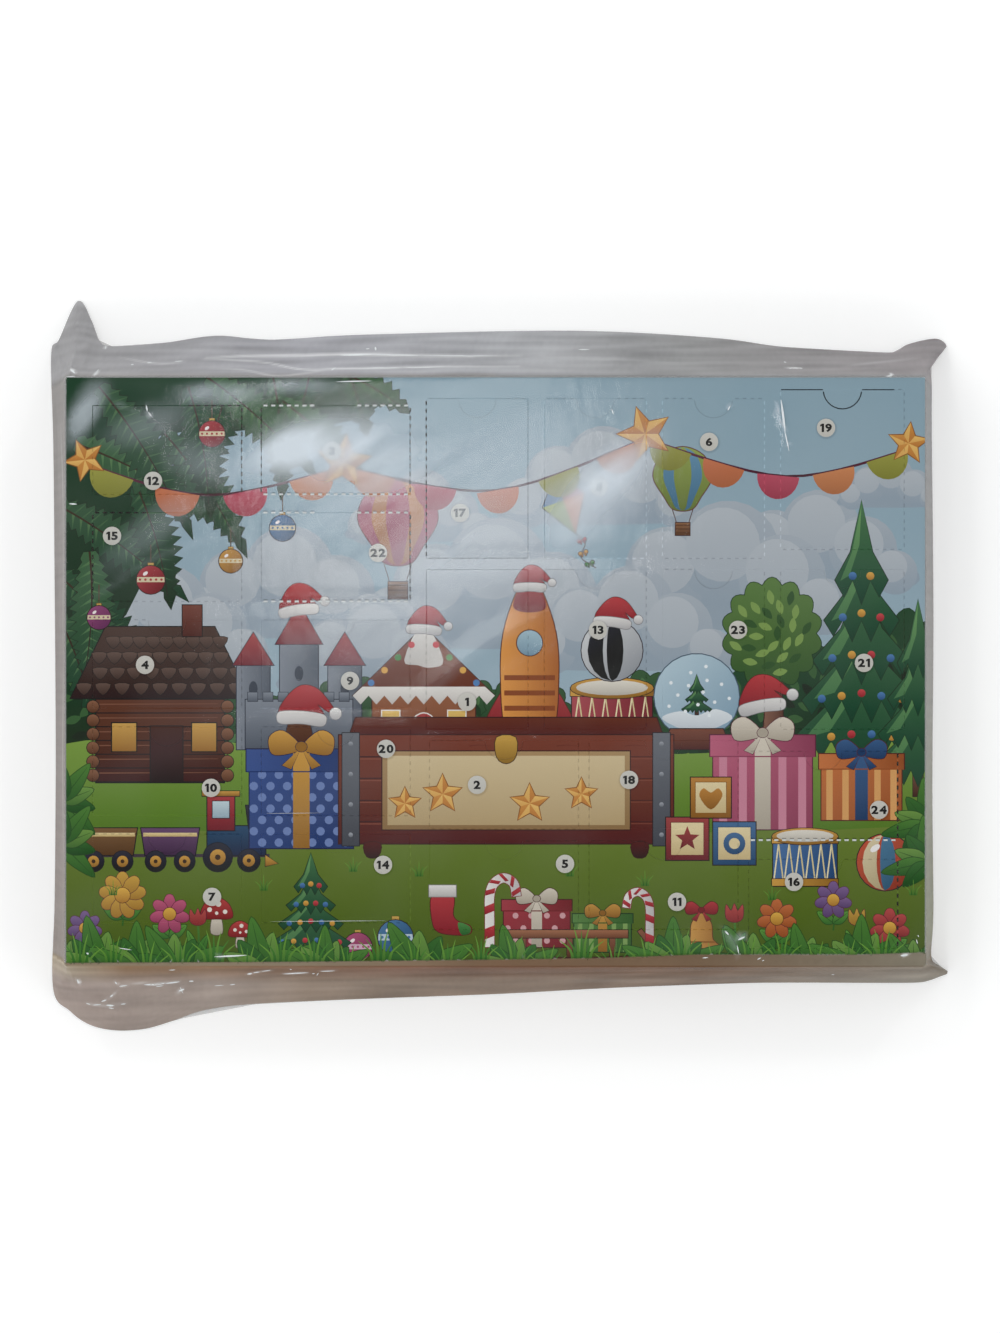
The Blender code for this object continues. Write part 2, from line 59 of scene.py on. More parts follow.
NUMBERS = range(1, 25)
PLAY = 0.03


def front(px, py):
    """A pixel of the photograph as millimetres from the front's lower left corner."""
    return (px - CORNER_PIXEL[0]) * PIXEL, (CORNER_PIXEL[1] - py) * PIXEL


# Camera, light and floor

PHOTO_HIGH = 1333
CAMERA_HEIGHT, CAMERA_SPOT = 0.95, (0.0019, 0.0022)
FLOOR_HALF, FLOOR_Z, FLOOR_GLOW = 3, -0.0002, 0.28


def new_piece(name, data):
    piece = bpy.data.objects.new(name, data)
    bpy.context.scene.collection.objects.link(piece)
    return piece


def make_camera():
    data = bpy.data.cameras.new("camera")
    data.sensor_fit = "VERTICAL"
    data.sensor_height = 36
    data.lens = 36 * CAMERA_HEIGHT / (PHOTO_HIGH * PIXEL * MM)
    camera = new_piece("camera", data)
    camera.location = (*CAMERA_SPOT, FACE_Z + CAMERA_HEIGHT)
    bpy.context.scene.camera = camera


def lamp(name, place, aim, size, radiance):
    data = bpy.data.lights.new(name, "AREA")
    data.shape = "RECTANGLE"
    data.size, data.size_y = size
    data.energy = radiance * math.pi * size[0] * size[1]
    light = new_piece(name, data)
    light.location = place
    light.rotation_euler = (Vector(aim) - Vector(place)).to_track_quat("-Z", "Y").to_euler()


def make_light():
    scene = bpy.context.scene
    scene.view_settings.view_transform = "Standard"
    world = bpy.data.worlds.new("studio")
    scene.world = world
    world.use_nodes = True
    nodes, links = world.node_tree.nodes, world.node_tree.links
    lit = nodes["Background"]
    lit.inputs["Color"].default_value = (0.97, 0.985, 1, 1)
    place, split, fade = (nodes.new(f"ShaderNode{kind}") for kind in ("TexCoord", "SeparateXYZ", "MapRange"))
    links.new(place.outputs["Generated"], split.inputs[0])
    links.new(split.outputs["Z"], fade.inputs["Value"])
    fade.interpolation_type = "SMOOTHSTEP"
    for name, value in (("From Min", 0.45), ("From Max", 0.95), ("To Min", 1.3), ("To Max", 0.1)):
        fade.inputs[name].default_value = value
    links.new(fade.outputs["Result"], lit.inputs["Strength"])
    lamp("overhead", (-0.07, 0.17, 1.25), (-0.04, 0.08, 0), (0.34, 0.24), 3.7)
    lamp("left", (-1.1, 0.5, 1.3), (0, 0, 0), (0.7, 0.7), 2.5)
    lamp("right", (1.2, -0.3, 1.2), (0, 0, 0), (0.5, 0.5), 2.3)
    lamp("spark_left", (-0.5, 0.9, 0.9), (0, 0, 0), (0.12, 0.12), 26)
    lamp("spark_right", (0.55, 0.85, 0.8), (0, 0, 0), (0.1, 0.1), 26)
    lamp("spark_low", (-0.25, -0.8, 0.9), (0, 0, 0), (0.12, 0.12), 22)


def make_floor():
    mesh = bpy.data.meshes.new("floor")
    corners = ((-1, -1), (1, -1), (1, 1), (-1, 1))
    mesh.from_pydata([(FLOOR_HALF * x, FLOOR_HALF * y, FLOOR_Z) for x, y in corners], [], [(0, 1, 2, 3)])
    floor = new_piece("floor", mesh)
    look = Look("floor")
    look.link(0.9, "Roughness")
    look.link(0.1, "Specular IOR Level")
    look.link(look.blend(look.noise(2, 2), "E6E6E5", "EBEBEA"), "Base Color")
    glow, paths, add = (look.node(f"ShaderNode{kind}") for kind in ("Emission", "LightPath", "AddShader"))
    glow.inputs["Color"].default_value = (1, 1, 1, 1)
    shone = look.math("MAXIMUM", paths.outputs["Is Glossy Ray"], paths.outputs["Is Transmission Ray"])
    seen = look.math("MAXIMUM", paths.outputs["Is Camera Ray"], shone)
    look.put(glow.inputs["Strength"], look.math("MULTIPLY", seen, FLOOR_GLOW))
    look.put(add.inputs[0], look.shader.outputs[0])
    look.put(add.inputs[1], glow.outputs[0])
    look.put(look.output.inputs["Surface"], add.outputs[0])
    mesh.materials.append(look.material)


# Materials


def rgb(code):
    """A colour written as six hexadecimal digits, as linear numbers."""
    parts = [int(code[n : n + 2], 16) / 255 for n in (0, 2, 4)]
    return np.array([p / 12.92 if p <= 0.04045 else ((p + 0.055) / 1.055) ** 2.4 for p in parts])


class Look:
    """A node material and short ways to add to it."""

    def __init__(self, name):
        self.material = bpy.data.materials.new(name)
        self.material.use_nodes = True
        tree = self.material.node_tree
        self.nodes, self.links = tree.nodes, tree.links
        self.shader, self.output = self.nodes["Principled BSDF"], self.nodes["Material Output"]
        self.spot = self.node("ShaderNodeTexCoord").outputs["Object"]

    def node(self, kind):
        return self.nodes.new(kind)

    def put(self, socket, value):
        if isinstance(value, bpy.types.NodeSocket):
            self.links.new(value, socket)
        elif isinstance(value, str):
            socket.default_value = (*rgb(value), 1)
        else:
            socket.default_value = value

    def link(self, value, name):
        self.put(self.shader.inputs[name], value)

    def math(self, operation, one, two, clamp=False):
        node = self.node("ShaderNodeMath")
        node.operation = operation
        node.use_clamp = clamp
        self.put(node.inputs[0], one)
        self.put(node.inputs[1], two)
        return node.outputs[0]

    def noise(self, size_mm, detail=3, stretch=(1, 1, 1), rough=0.5):
        """Noise whose grain is about size_mm, with each axis stretched."""
        turn = self.node("ShaderNodeMapping")
        turn.inputs["Scale"].default_value = [1 / (size_mm * MM * s) for s in stretch]
        self.put(turn.inputs["Vector"], self.spot)
        node = self.node("ShaderNodeTexNoise")
        for name, value in (("Scale", 1), ("Detail", detail), ("Roughness", rough), ("Vector", turn.outputs[0])):
            self.put(node.inputs[name], value)
        return node.outputs["Fac"]

    def blend(self, share, low, high):
        node = self.node("ShaderNodeMix")
        node.data_type = "RGBA"
        self.put(node.inputs["Factor"], share)
        self.put(node.inputs["A"], low)
        self.put(node.inputs["B"], high)
        return node.outputs["Result"]

    def span(self, value, low, high, to_low=0.0, to_high=1.0):
        node = self.node("ShaderNodeMapRange")
        self.put(node.inputs["Value"], value)
        for name, number in (("From Min", low), ("From Max", high), ("To Min", to_low), ("To Max", to_high)):
            node.inputs[name].default_value = number
        return node.outputs["Result"]

    def bump(self, height, depth_mm, strength):
        node = self.node("ShaderNodeBump")
        node.inputs["Strength"].default_value = strength
        node.inputs["Distance"].default_value = depth_mm * MM
        self.put(node.inputs["Height"], height)
        self.link(node.outputs["Normal"], "Normal")
        return node.outputs["Normal"]

    def roughen(self, size_mm, detail, low, high):
        """A roughness that varies between low and high."""
        self.link(self.span(self.noise(size_mm, detail), 0.3, 0.7, low, high), "Roughness")

    def split(self, place):
        node = self.node("ShaderNodeSeparateXYZ")
        self.put(node.inputs[0], place)
        return node.outputs

    def attribute(self, name):
        node = self.node("ShaderNodeAttribute")
        node.attribute_name = name
        return node

    def mix(self, share, one, two):
        node = self.node("ShaderNodeMixShader")
        for socket, value in zip(node.inputs, (share, one, two)):
            self.put(socket, value)
        return node.outputs[0]


# Picture kit. Points are in millimetres from the front's lower left corner, with y upwards.

Shape = namedtuple("Shape", "loops low high along start end tint")
UP = np.array([0.0, 1.0])
shapes = []


def grown(points, by):
    """An outline moved outwards all round."""
    after, before = np.roll(points, -1, 0), np.roll(points, 1, 0)
    area = np.sum(points[:, 0] * after[:, 1] - after[:, 0] * points[:, 1])
    normals = []
    for side in (points - before, after - points):
        length = np.maximum(np.linalg.norm(side, axis=1, keepdims=True), 1e-9)
        normals.append(np.column_stack([side[:, 1], -side[:, 0]]) / length)
    total = normals[0] + normals[1]
    size = np.maximum(np.linalg.norm(total, axis=1, keepdims=True), 0.7)
    return points + math.copysign(by, area) * total / size * np.minimum(2 / size, 1.4)


class Brush:
    """Draws at its own place, size and tilt. All but paint and at take shares of its wide and high."""

    def __init__(self, matrix=np.eye(2), shift=(0, 0), wide=1, high=1):
        self.matrix, self.shift = matrix, np.array(shift, float)
        self.wide, self.high = wide, high

    def at(self, x, y, size=1, tilt=0, flip=1):
        c, s = math.cos(math.radians(tilt)), math.sin(math.radians(tilt))
        turned = np.array([[c * flip, -s], [s * flip, c]]) * size
        return Brush(self.matrix @ turned, self.matrix @ np.array([x, y], float) + self.shift)

    def sized(self, wide, high=None):
        return Brush(self.matrix, self.shift, wide, high or wide)

    def paint(self, points, colours, width=0.4, turn=-90):
        """Fills an outline with one colour, which runs into the second along turn, over an edge of the third."""
        points = np.array(points, float) @ self.matrix.T + self.shift
        fill, *more = (rgb(code) for code in colours.split())
        if len(more) > 1:
            add_shape(grown(points, width), more[1], more[1], turn)
        add_shape(points, fill, more[0] if more else fill, turn)

    def scaled(self, points):
        return [(x * self.wide, y * self.high) for x, y in points]

    def poly(self, points, *look):
        self.paint(self.scaled(points), *look)

    def blob(self, steps, points, *look):
        """A smooth outline, with that many steps between its points."""
        self.paint(curve(self.scaled(points), steps), *look)

    def band(self, points, widths, *look):
        """A ribbon. Its widths are in millimetres."""
        self.paint(ribbon(self.scaled(points), *widths), *look)

    def slab(self, x, y, wide, high, *look):
        self.paint(slab(x * self.wide, y * self.high, wide * self.wide, high * self.high), *look)

    def oval(self, x, y, rx, ry, *look, tilt=0, steps=22):
        """An oval. Both radii are shares of wide."""
        self.paint(oval(x * self.wide, y * self.high, rx * self.wide, ry * self.wide, tilt, steps), *look)


def add_shape(points, colour, shade, turn):
    along = np.array([math.cos(math.radians(turn)), math.sin(math.radians(turn))])
    reach = points @ along
    shapes.append(Shape([points], colour, shade, along, reach.min(), reach.max(), False))


def oval(x, y, rx, ry=None, tilt=0, steps=22):
    turns = np.arange(steps) * 2 * math.pi / steps
    c, s = math.cos(math.radians(tilt)), math.sin(math.radians(tilt))
    across, up = rx * np.cos(turns), (ry or rx) * np.sin(turns)
    return np.column_stack([x + across * c - up * s, y + across * s + up * c])


def slab(x, y, wide, high):
    return [(x, y), (x + wide, y), (x + wide, y + high), (x, y + high)]


def both(half):
    """An outline whose second half mirrors the first."""
    return [*half, *((-x, y) for x, y in reversed(half) if x)]


def curve(points, steps=5, closed=True):
    """A smooth line through points."""
    points = np.array(points, float)
    count = len(points)
    found = []
    for n in range(count if closed else count - 1):
        near = [(n + k) % count if closed else min(max(n + k, 0), count - 1) for k in (-1, 0, 1, 2)]
        a, b, c, d = points[near]
        for t in np.arange(steps) / steps:
            found.append(
                0.5 * (2 * b + (c - a) * t + (2 * a - 5 * b + 4 * c - d) * t**2 + (3 * b - a - 3 * c + d) * t**3)
            )
    if not closed:
        found.append(points[-1])
    return np.array(found)


def ribbon(points, width, end=None, steps=5):
    """A band along a smooth open line, from width to end."""
    line = curve(points, steps, closed=False)
    along = np.gradient(line, axis=0)
    along /= np.maximum(np.linalg.norm(along, axis=1, keepdims=True), 1e-9)
    half = np.linspace(width, width if end is None else end, len(line))[:, None] / 2
    side = np.column_stack([-along[:, 1], along[:, 0]]) * half
    return np.vstack([line + side, (line - side)[::-1]])


def rays(outer, inner, count):
    """A star's outline round the origin, with its first point upwards."""
    turns = [math.radians(90 + 180 * n / count) for n in range(2 * count)]
    sizes = (outer, inner) * count
    return [(size * math.cos(t), size * math.sin(t)) for size, t in zip(sizes, turns)]


def scallops(rx, ry, bumps):
    """A cloud-like outline round the origin."""
    depth, steps = 0.07, 6
    turns = np.arange(bumps * steps) * 2 * math.pi / (bumps * steps)
    swell = 1 - depth + depth * 2 * np.abs(np.sin(turns * bumps / 2))
    return np.column_stack([rx * swell * np.cos(turns), ry * swell * np.sin(turns)])


def scatter(count, rx, ry):
    """Points spread evenly over an oval, by the golden angle."""
    golden_angle = 2.39996
    for n in range(count):
        radius, turn = math.sqrt((n + 0.5) / count), n * golden_angle
        yield n, rx * radius * math.cos(turn), ry * radius * math.sin(turn)


# Motifs. Each stands on its brush's origin, or hangs round it, and measures about its size in millimetres.

CREAM_ICING, BRASS, HOLLY = "DCD8D2 BDB8B4", "C9963C 8E6428", "4F8A4A 336336"


def cloud(b, wide):
    t = b.sized(wide)
    puffs = ((-0.36, 0.08, 0.13), (-0.2, 0.2, 0.17), (0.03, 0.27, 0.2), (0.24, 0.17, 0.17), (0.4, 0.06, 0.11))
    t.blob(5, [(-0.5, 0), (0, -0.03), (0.5, 0), (0.36, 0.14), (-0.3, 0.14)], "8E9DAA")
    for x, y, r in puffs:
        t.oval(x, y, r, r, "A2ABB4 8E9DAA")
    for x, y, r in puffs:
        t.oval(x - 0.02, y + 0.03, 0.72 * r, 0.72 * r, "AEB5BC A2ABB4")


def leaf(b, long, wide, colours):
    """A leaf from the origin upwards, with its rib."""
    t = b.sized(wide, long)
    t.blob(4, both([(0, 0), (0.55, 0.25), (0.5, 0.6), (0, 1)]), f"{colours} 33502C", 0.3)
    t.band([(0, 0.05), (0.02, 0.5), (0, 0.9)], (0.05 * wide + 0.15, 0.1), "33502C")


def frond(b, count, long, spread, greens, start=90):
    """Leaves fanned out from one point."""
    for n in range(count):
        tilt = start - 90 + spread * (n / (count - 1) - 0.5)
        leaf(b.at(0, 0, 1, tilt), long * (0.82 + 0.18 * math.cos(n * 2.1)), long * 0.3, greens[n % 3])


def tuft(b, high, blades=7):
    """Grass blades."""
    for n in range(blades):
        lean = (n / (blades - 1) - 0.5) * 2
        tall = high * (1 - 0.35 * abs(lean) + 0.12 * math.sin(n * 3.7))
        root = lean * high * 0.22
        path = [(root, 0), (root + lean * high * 0.08, tall * 0.55), (root + lean * high * 0.4, tall)]
        b.band(path, (high * 0.11, 0.1, 4), ("6FA03C 3F7030", "4F8A38 2F5E2C")[n % 2])


def crown(b, rx, ry, count, colours):
    """A leafy mass round the origin, in a fill, a shade and a light."""
    fill, shade, light = colours.split()
    b.paint(scallops(rx, ry, int(9 + rx / 4)), f"{fill} {shade} 2E4630", 0.35)
    for n, x, y in scatter(count, rx * 0.82, ry * 0.8):
        t = b.at(x, y, 1, n * 67).sized(0.1 * min(rx, ry) + 1.2)
        t.blob(3, [(0, -1), (0.5, 0), (0, 1), (-0.5, 0)], light if n % 3 else shade)


def shrub(b, wide, high, colours):
    crown(b.at(0, high * 0.45), wide / 2, high * 0.55, int(10 + wide / 3), colours)


def round_tree(b, high, wide, colours):
    t = b.sized(high)
    t.band([(0, 0), (0.01, 0.3), (0, 0.62)], (0.13 * high, 0.07 * high), "8A6352 5F4238 46302A", 0.4, 0)
    for lean in (-1, 1):
        path = [(0, 0.36), (lean * 0.08, 0.5), (lean * 0.2, 0.62)]
        t.band(path, (0.05 * high, 0.02 * high), "7C5748 5A3E35 46302A", 0.3)
    crown(b.at(0, 0.72 * high), wide / 2, 0.3 * high, 26, colours)


# A fir tier's top and its lit side, as shares of the tier's half width and of its height
FIR_TOP = ((-0.42, 0.42), (0, 1), (0.42, 0.42))
FIR_LIT = ((-0.8, 0.1), (-0.36, 0.42), (0, 0.94), (-0.08, 0.5), (-0.45, 0.16))
FIR_BEADS = ("C9454A 8E2A32", "D9A441 A9742C", "4F7FB5 31537F")


def fir(b, high, wide, tiers, trims=True):
    """A fir with drooping, scalloped tiers."""
    b.sized(wide, high).slab(-0.05, 0, 0.1, 0.14, "7A5546 4A332C 3A2822", 0.3)
    for n in range(tiers):
        low = high * (0.1 + 0.72 * n / tiers)
        tall = high * (0.42 - 0.16 * n / tiers) if n < tiers - 1 else high - low
        half = wide / 2 * (1 - 0.78 * n / tiers)
        bumps = max(3, 7 - n)
        hem = []
        for k in range(bumps):
            a, c = (half - 2 * half * m / bumps for m in (k, k + 1))
            sag = low - 0.04 * high * (1 - abs(a + c) / (2 * half))
            hem += [(a, low + 0.035 * high), ((a + c) / 2, sag - 0.012 * high)]
        hem.append((-half, low + 0.035 * high))
        top, lit = ([(x * half, low + y * tall) for x, y in shares] for shares in (FIR_TOP, FIR_LIT))
        b.paint([*hem, *top], "4C7850 28493A 203A2E", 0.3)
        b.paint(lit, "6B9A5E 4C7850")
        for k in range(bumps - 1 if trims else 0):
            x = half - 2 * half * (k + 1) / bumps
            y = low + 0.03 * high + 0.03 * high * (1 - abs(x) / half)
            b.paint(oval(x, y, 0.022 * wide + 0.4, steps=12), FIR_BEADS[(k + n) % 3])


def gold_star(b, r):
    """A five-pointed star with facets."""
    outline = rays(r, 0.46 * r, 5)
    b.paint(outline, "D7A043 B77B35 8A5A2E", 0.45)
    for n in range(10):
        b.paint([(0, 0), outline[n], outline[(n + 1) % 10]], ("E0B45E D29C4A", "C98A3A B5722F")[n % 2])


def bunting(b, path, pennants, wide, colours):
    line = curve(path, 8, closed=False)
    lengths = np.r_[0, np.cumsum(np.linalg.norm(np.diff(line, axis=0), axis=1))]
    b.band(path, (1.1, None, 8), "6B3A4A 4E2A38")
    half = [(wide / 2 * math.cos(t), -wide * 0.56 * math.sin(t)) for t in np.linspace(0, math.pi, 13)]
    for n in range(pennants):
        s = lengths[-1] * (n + 0.5) / pennants
        (x, y), (nx, ny) = ([np.interp(at, lengths, line[:, k]) for k in (0, 1)] for at in (s, s + 1))
        b.at(x, y, 1, math.degrees(math.atan2(ny - y, nx - x))).paint(half, colours[n % len(colours)])


def bow(b, wide, colours):
    t = b.sized(wide)
    _, shade, line = colours.split()
    for side in (-1, 1):
        loop = [(0, 0), (0.28, 0.26), (0.5, 0.16), (0.46, -0.1), (0.2, -0.1)]
        t.blob(4, [(side * x, y) for x, y in loop], colours, 0.3)
        t.poly([(0, 0), (side * 0.16, -0.34), (side * 0.3, -0.28)], colours, 0.25)
    t.oval(0, 0.01, 0.09, 0.08, f"{shade} {shade} {line}", 0.25, steps=12)


def parcel(b, wide, high, wrap, tie, line, dots=None, stripes=None):
    """A wrapped box with a lid, ribbon and bow."""
    t = b.sized(wide, high)
    t.slab(-0.5, 0, 1, 1, f"{wrap} {line}", 0.45, -60)
    if dots:
        rows, columns = max(2, int(high / 6)), max(3, int(wide / 7))
        for r in range(rows):
            for c in range(columns):
                x = -wide / 2 + wide * (c + 0.5 + 0.25 * (-1) ** r) / (columns + 0.2)
                b.paint(oval(x, high * 0.8 * (r + 0.5) / rows, 0.035 * wide + 0.3, steps=10), dots)
    if stripes:
        for n in range(5):
            b.paint(slab(-wide / 2 + wide * (n + 0.3) / 5, 0, wide * 0.08, high), stripes)
    t.slab(-0.53, 0.78, 1.06, 0.22, f"{wrap} {line}", 0.45, 0)
    t.slab(-0.08, 0, 0.16, 1, tie)
    b.paint(slab(-wide * 0.53, high * 0.78 - 0.5, wide * 1.06, 0.5), wrap.split()[1])
    bow(b.at(0, high * 1.02), wide * 0.62, f"{tie} {line}")


def hat(b, wide, tilt):
    """A red winter hat with a white band and bobble."""
    t = b.at(0, 0, wide, tilt)
    crest = [(-0.05, 0.72), (0.3, 0.66), (0.62, 0.32), (0.66, 0.22), (0.5, 0.24), (0.3, 0.36), (0.42, 0.1)]
    t.blob(4, [(-0.42, 0.1), (-0.34, 0.45), *crest], "B83A3E 86262E 5E1C22", 0.3)
    trim = [*both([(-0.5, 0.02), (-0.44, 0.16), (0, 0.2)]), (0.4, -0.08), (0, -0.05), (-0.4, -0.08)]
    t.blob(4, trim, "D8D5D2 A9A7A8 7E7C7E", 0.25)
    t.oval(0.68, 0.2, 0.12, 0.12, "DEDCDA A9A7A8 7E7C7E", 0.25, steps=14)


def cane(b, high, flip=1):
    """A red and white striped cane."""
    path = [(0, 0), (0, 0.4), (0, 0.72), (0.06, 0.9), (0.2, 0.98), (0.34, 0.9), (0.38, 0.72)]
    t = b.at(0, 0, high, 0, flip)
    t.band(path, (0.13,), "DCD8D4 B5B0B0 7C3436", 0.3, 0)
    line = curve(path, 6, closed=False)
    along = np.gradient(line, axis=0)
    for n in range(2, len(line) - 3, 5):
        d = along[n] / np.linalg.norm(along[n])
        s = np.array([-d[1], d[0]]) * 0.065
        a, c = line[n], line[n + 2]
        t.paint([a + s, a - s + d * 0.05, c - s + d * 0.05, c + s], "B93A40 8C2630")


def stocking(b, high):
    t = b.at(0, 0, high)
    foot = [(0.2, 0.36), (0.3, 0.22), (0.52, 0.14), (0.54, 0), (0.3, -0.04), (-0.08, 0.02), (-0.2, 0.24)]
    t.blob(4, [(-0.2, 0.72), (0.2, 0.72), *foot], "B43A40 832630 5A1C22", 0.35)
    t.slab(-0.26, 0.7, 0.52, 0.22, "DAD7D3 B0ADAB 7E7A7A", 0.3)
    t.blob(4, [(0.3, 0.2), (0.52, 0.13), (0.53, 0), (0.36, -0.03)], HOLLY)


def bauble(b, r, colours, band, cord=0):
    if cord:
        b.band([(0, r), (0, r + cord / 2), (0, r + cord)], (0.5,), "5A4A3C")
    t = b.sized(r)
    t.slab(-0.2, 0.9, 0.4, 0.3, "C9A24A 94702F 5E4620", 0.2)
    t.oval(0, 0, 1, 1, f"{colours} 3C2A30", 0.35, -50, steps=20)
    t.poly([(-0.96, 0.2), (0.96, 0.2), (0.98, -0.16), (-0.98, -0.16)], band)
    for n in range(5):
        t.oval((n - 2) * 0.38, 0.02, 0.09, 0.09, colours.split()[0], steps=8)
    t.oval(-0.38, 0.45, 0.2, 0.12, "E6DEDC", tilt=35, steps=10)


def balloon(b, r, main, other):
    """A hot-air balloon, with gores."""
    t = b.sized(r)
    for side in (-1, 1):
        t.band([(side * 0.42, -0.9), (side * 0.2, -1.6)], (0.35,), "5A4038")
    t.blob(5, both([(0, 1), (0.72, 0.7), (1, 0), (0.62, -0.7), (0.3, -1.12)]), f"{main} 6A3A3C", 0.4)
    for share, colours in ((0.66, other), (0.3, main)):
        gore = [(0, 0.98), (0.72 * share, 0.7), (share, 0), (0.62 * share, -0.7), (0.3 * share, -1.1)]
        t.blob(5, both(gore), colours)
    t.slab(-0.24, -2, 0.48, 0.42, "8A6244 5E402E 46302A", 0.35)
    for n in range(3):
        t.slab(-0.24, -1.94 + 0.13 * n, 0.48, 0.04, "5E402E")


def drum(b, wide, high, colours):
    t = b.sized(wide, high)
    t.slab(-0.5, 0, 1, 1, f"{colours} 3A2A2A", 0.45, 0)
    for n in range(6):
        x = -wide / 2 + wide * n / 6
        middle = x + wide / 12
        for foot, way, tone in ((x, 1, "E0D3A8"), (x + wide / 6, -1, "CDBD8C")):
            low, top = high * 0.12, high * 0.85
            b.paint([(foot, low), (foot + way * 0.6, low), (middle + way * 0.3, top), (middle - way * 0.3, top)], tone)
    for y in (0, 0.86):
        t.slab(-0.52, y, 1.04, 0.14, f"{BRASS} 3A2A2A", 0.3, 0)
    t.oval(0, 1, 0.52, 0.13, f"{BRASS} 3A2A2A", 0.3)
    b.paint(oval(0, high + 0.2, wide * 0.45, wide * 0.095), "D9D3C6 B3ADA2")


def ball(b, r, main, *panels):
    t = b.sized(r)
    t.oval(0, 1, 1, 1, f"{main} 3A2E36", 0.4, -50, steps=24)
    for x, w, colours in ((-0.55, 0.5, panels[0]), (0.1, 0.55, panels[1])):
        outline = []
        for side, start in ((x - w / 2, -1.5), (x + w / 2, 1.5)):
            turns = np.linspace(start, -start, 9)
            outline += [(r * side * math.cos(t), r + r * math.sin(t) * 0.99) for t in turns]
        b.paint(outline, colours, 0.4, -50)
    t.oval(-0.35, 1.5, 0.2, 0.11, "E6E2E0", tilt=35, steps=10)


def block(b, size, colours, mark):
    """A toy block with a plain shape on its face."""
    t = b.sized(size)
    t.slab(-0.5, 0, 1, 1, f"{colours} 3A2A26", 0.45)
    t.slab(-0.38, 0.12, 0.76, 0.76, f"DCCB9E C4AE7C {colours.split()[1]}", 0.3)
    if mark == "star":
        b.at(0, size / 2).paint(rays(size * 0.3, size * 0.13, 5), colours)
    elif mark == "ring":
        t.oval(0, 0.5, 0.26, 0.26, colours)
        t.oval(0, 0.5, 0.13, 0.13, "D6C494")
    else:
        heart = both([(0, -1), (0.95, 0.1), (0.62, 0.78), (0, 0.42)])
        b.at(0, size / 2, size * 0.3).blob(4, heart, colours)


def house(b, wide, high):
    """A gingerbread house with icing."""
    t = b.sized(wide, high)
    t.slab(-0.42, 0, 0.84, 0.55, "9A6142 6E412E 4A2C22", 0.45)
    t.poly([(-0.58, 0.46), (0.58, 0.46), (0, 1)], "8A4F38 64362A 4A2C22", 0.45)
    hem = [(-wide * 0.58, high * 0.46)]
    for n in range(9):
        x = -wide * 0.58 + wide * 1.16 * (n + 0.5) / 9
        hem += [(x, high * 0.39), (x + wide * 0.065, high * 0.46)]
    b.paint([*hem, (wide * 0.5, high * 0.53), (-wide * 0.5, high * 0.53)], CREAM_ICING)
    t.blob(4, [(-0.16, 0.74), (0, 1.03), (0.16, 0.74), (0.06, 0.68), (-0.05, 0.7)], CREAM_ICING)
    t.blob(4, both([(-0.1, 0), (-0.1, 0.24), (0, 0.32)]), "A8403E 7A2A2E DCD8D2", 0.5)
    for side in (-1, 1):
        x = side * wide * 0.27 - wide * 0.07
        b.paint(slab(x, high * 0.18, wide * 0.14, high * 0.16), "D9B45A BE8F3E DCD8D2", 0.5)
        for n, tone in enumerate(("C9454A", "4F8A4A", "D9A441", "4F7FB5")):
            x, y = side * wide * (0.1 + 0.11 * n), high * (0.86 - 0.1 * n)
            b.paint(oval(x, y, 0.022 * wide + 0.3, steps=10), tone)


def castle(b, wide, high):
    stone = "7E8590 555C68 343844"
    for x, w, tall in ((-0.36, 0.26, 0.8), (0.36, 0.26, 0.8), (0, 0.3, 1)):
        t = b.sized(wide, tall * high)
        t.slab(x - w / 2, 0, w, 0.72, stone, 0.4, 0)
        t.poly([(x - w * 0.62, 0.72), (x + w * 0.62, 0.72), (x, 1)], "A8484A 74303A 343844")
        t.oval(x, 0.52, 0.035, 0.06, "3E4450", steps=12)
    t = b.sized(wide, high)
    t.slab(-0.42, 0, 0.84, 0.34, stone)
    for n in range(7):
        x = -wide * 0.42 + wide * 0.84 * (n + 0.15) / 7
        b.paint(slab(x, high * 0.33, wide * 0.075, high * 0.06), stone, 0.25)
    t.blob(4, both([(-0.09, 0), (-0.09, 0.16), (0, 0.24)]), "6B4634 4A3026 343844", 0.3)


def rocket(b, high):
    t = b.sized(high)
    for side in (-1, 1):
        fin = [(0.12, 0.1), (0.12, 0.36), (0.26, 0.14), (0.28, -0.02)]
        t.blob(4, [(side * x, y) for x, y in fin], "A83C3E 742830 5A3422", 0.35)
    hull = both([(0, 1), (0.14, 0.72), (0.17, 0.4), (0.12, 0.05)])
    t.blob(5, hull, "D9923E A8622E 5A3422", 0.45, 0)
    t.blob(4, both([(0, 1), (0.1, 0.82), (0, 0.78)]), "A83C3E 742830")
    t.oval(0, 0.6, 0.075, 0.075, "9DB9C6 6C8CA0 5A3422")
    for n in range(3):
        t.slab(-0.15, 0.2 + 0.09 * n, 0.3, 0.03, "8A4A2A")


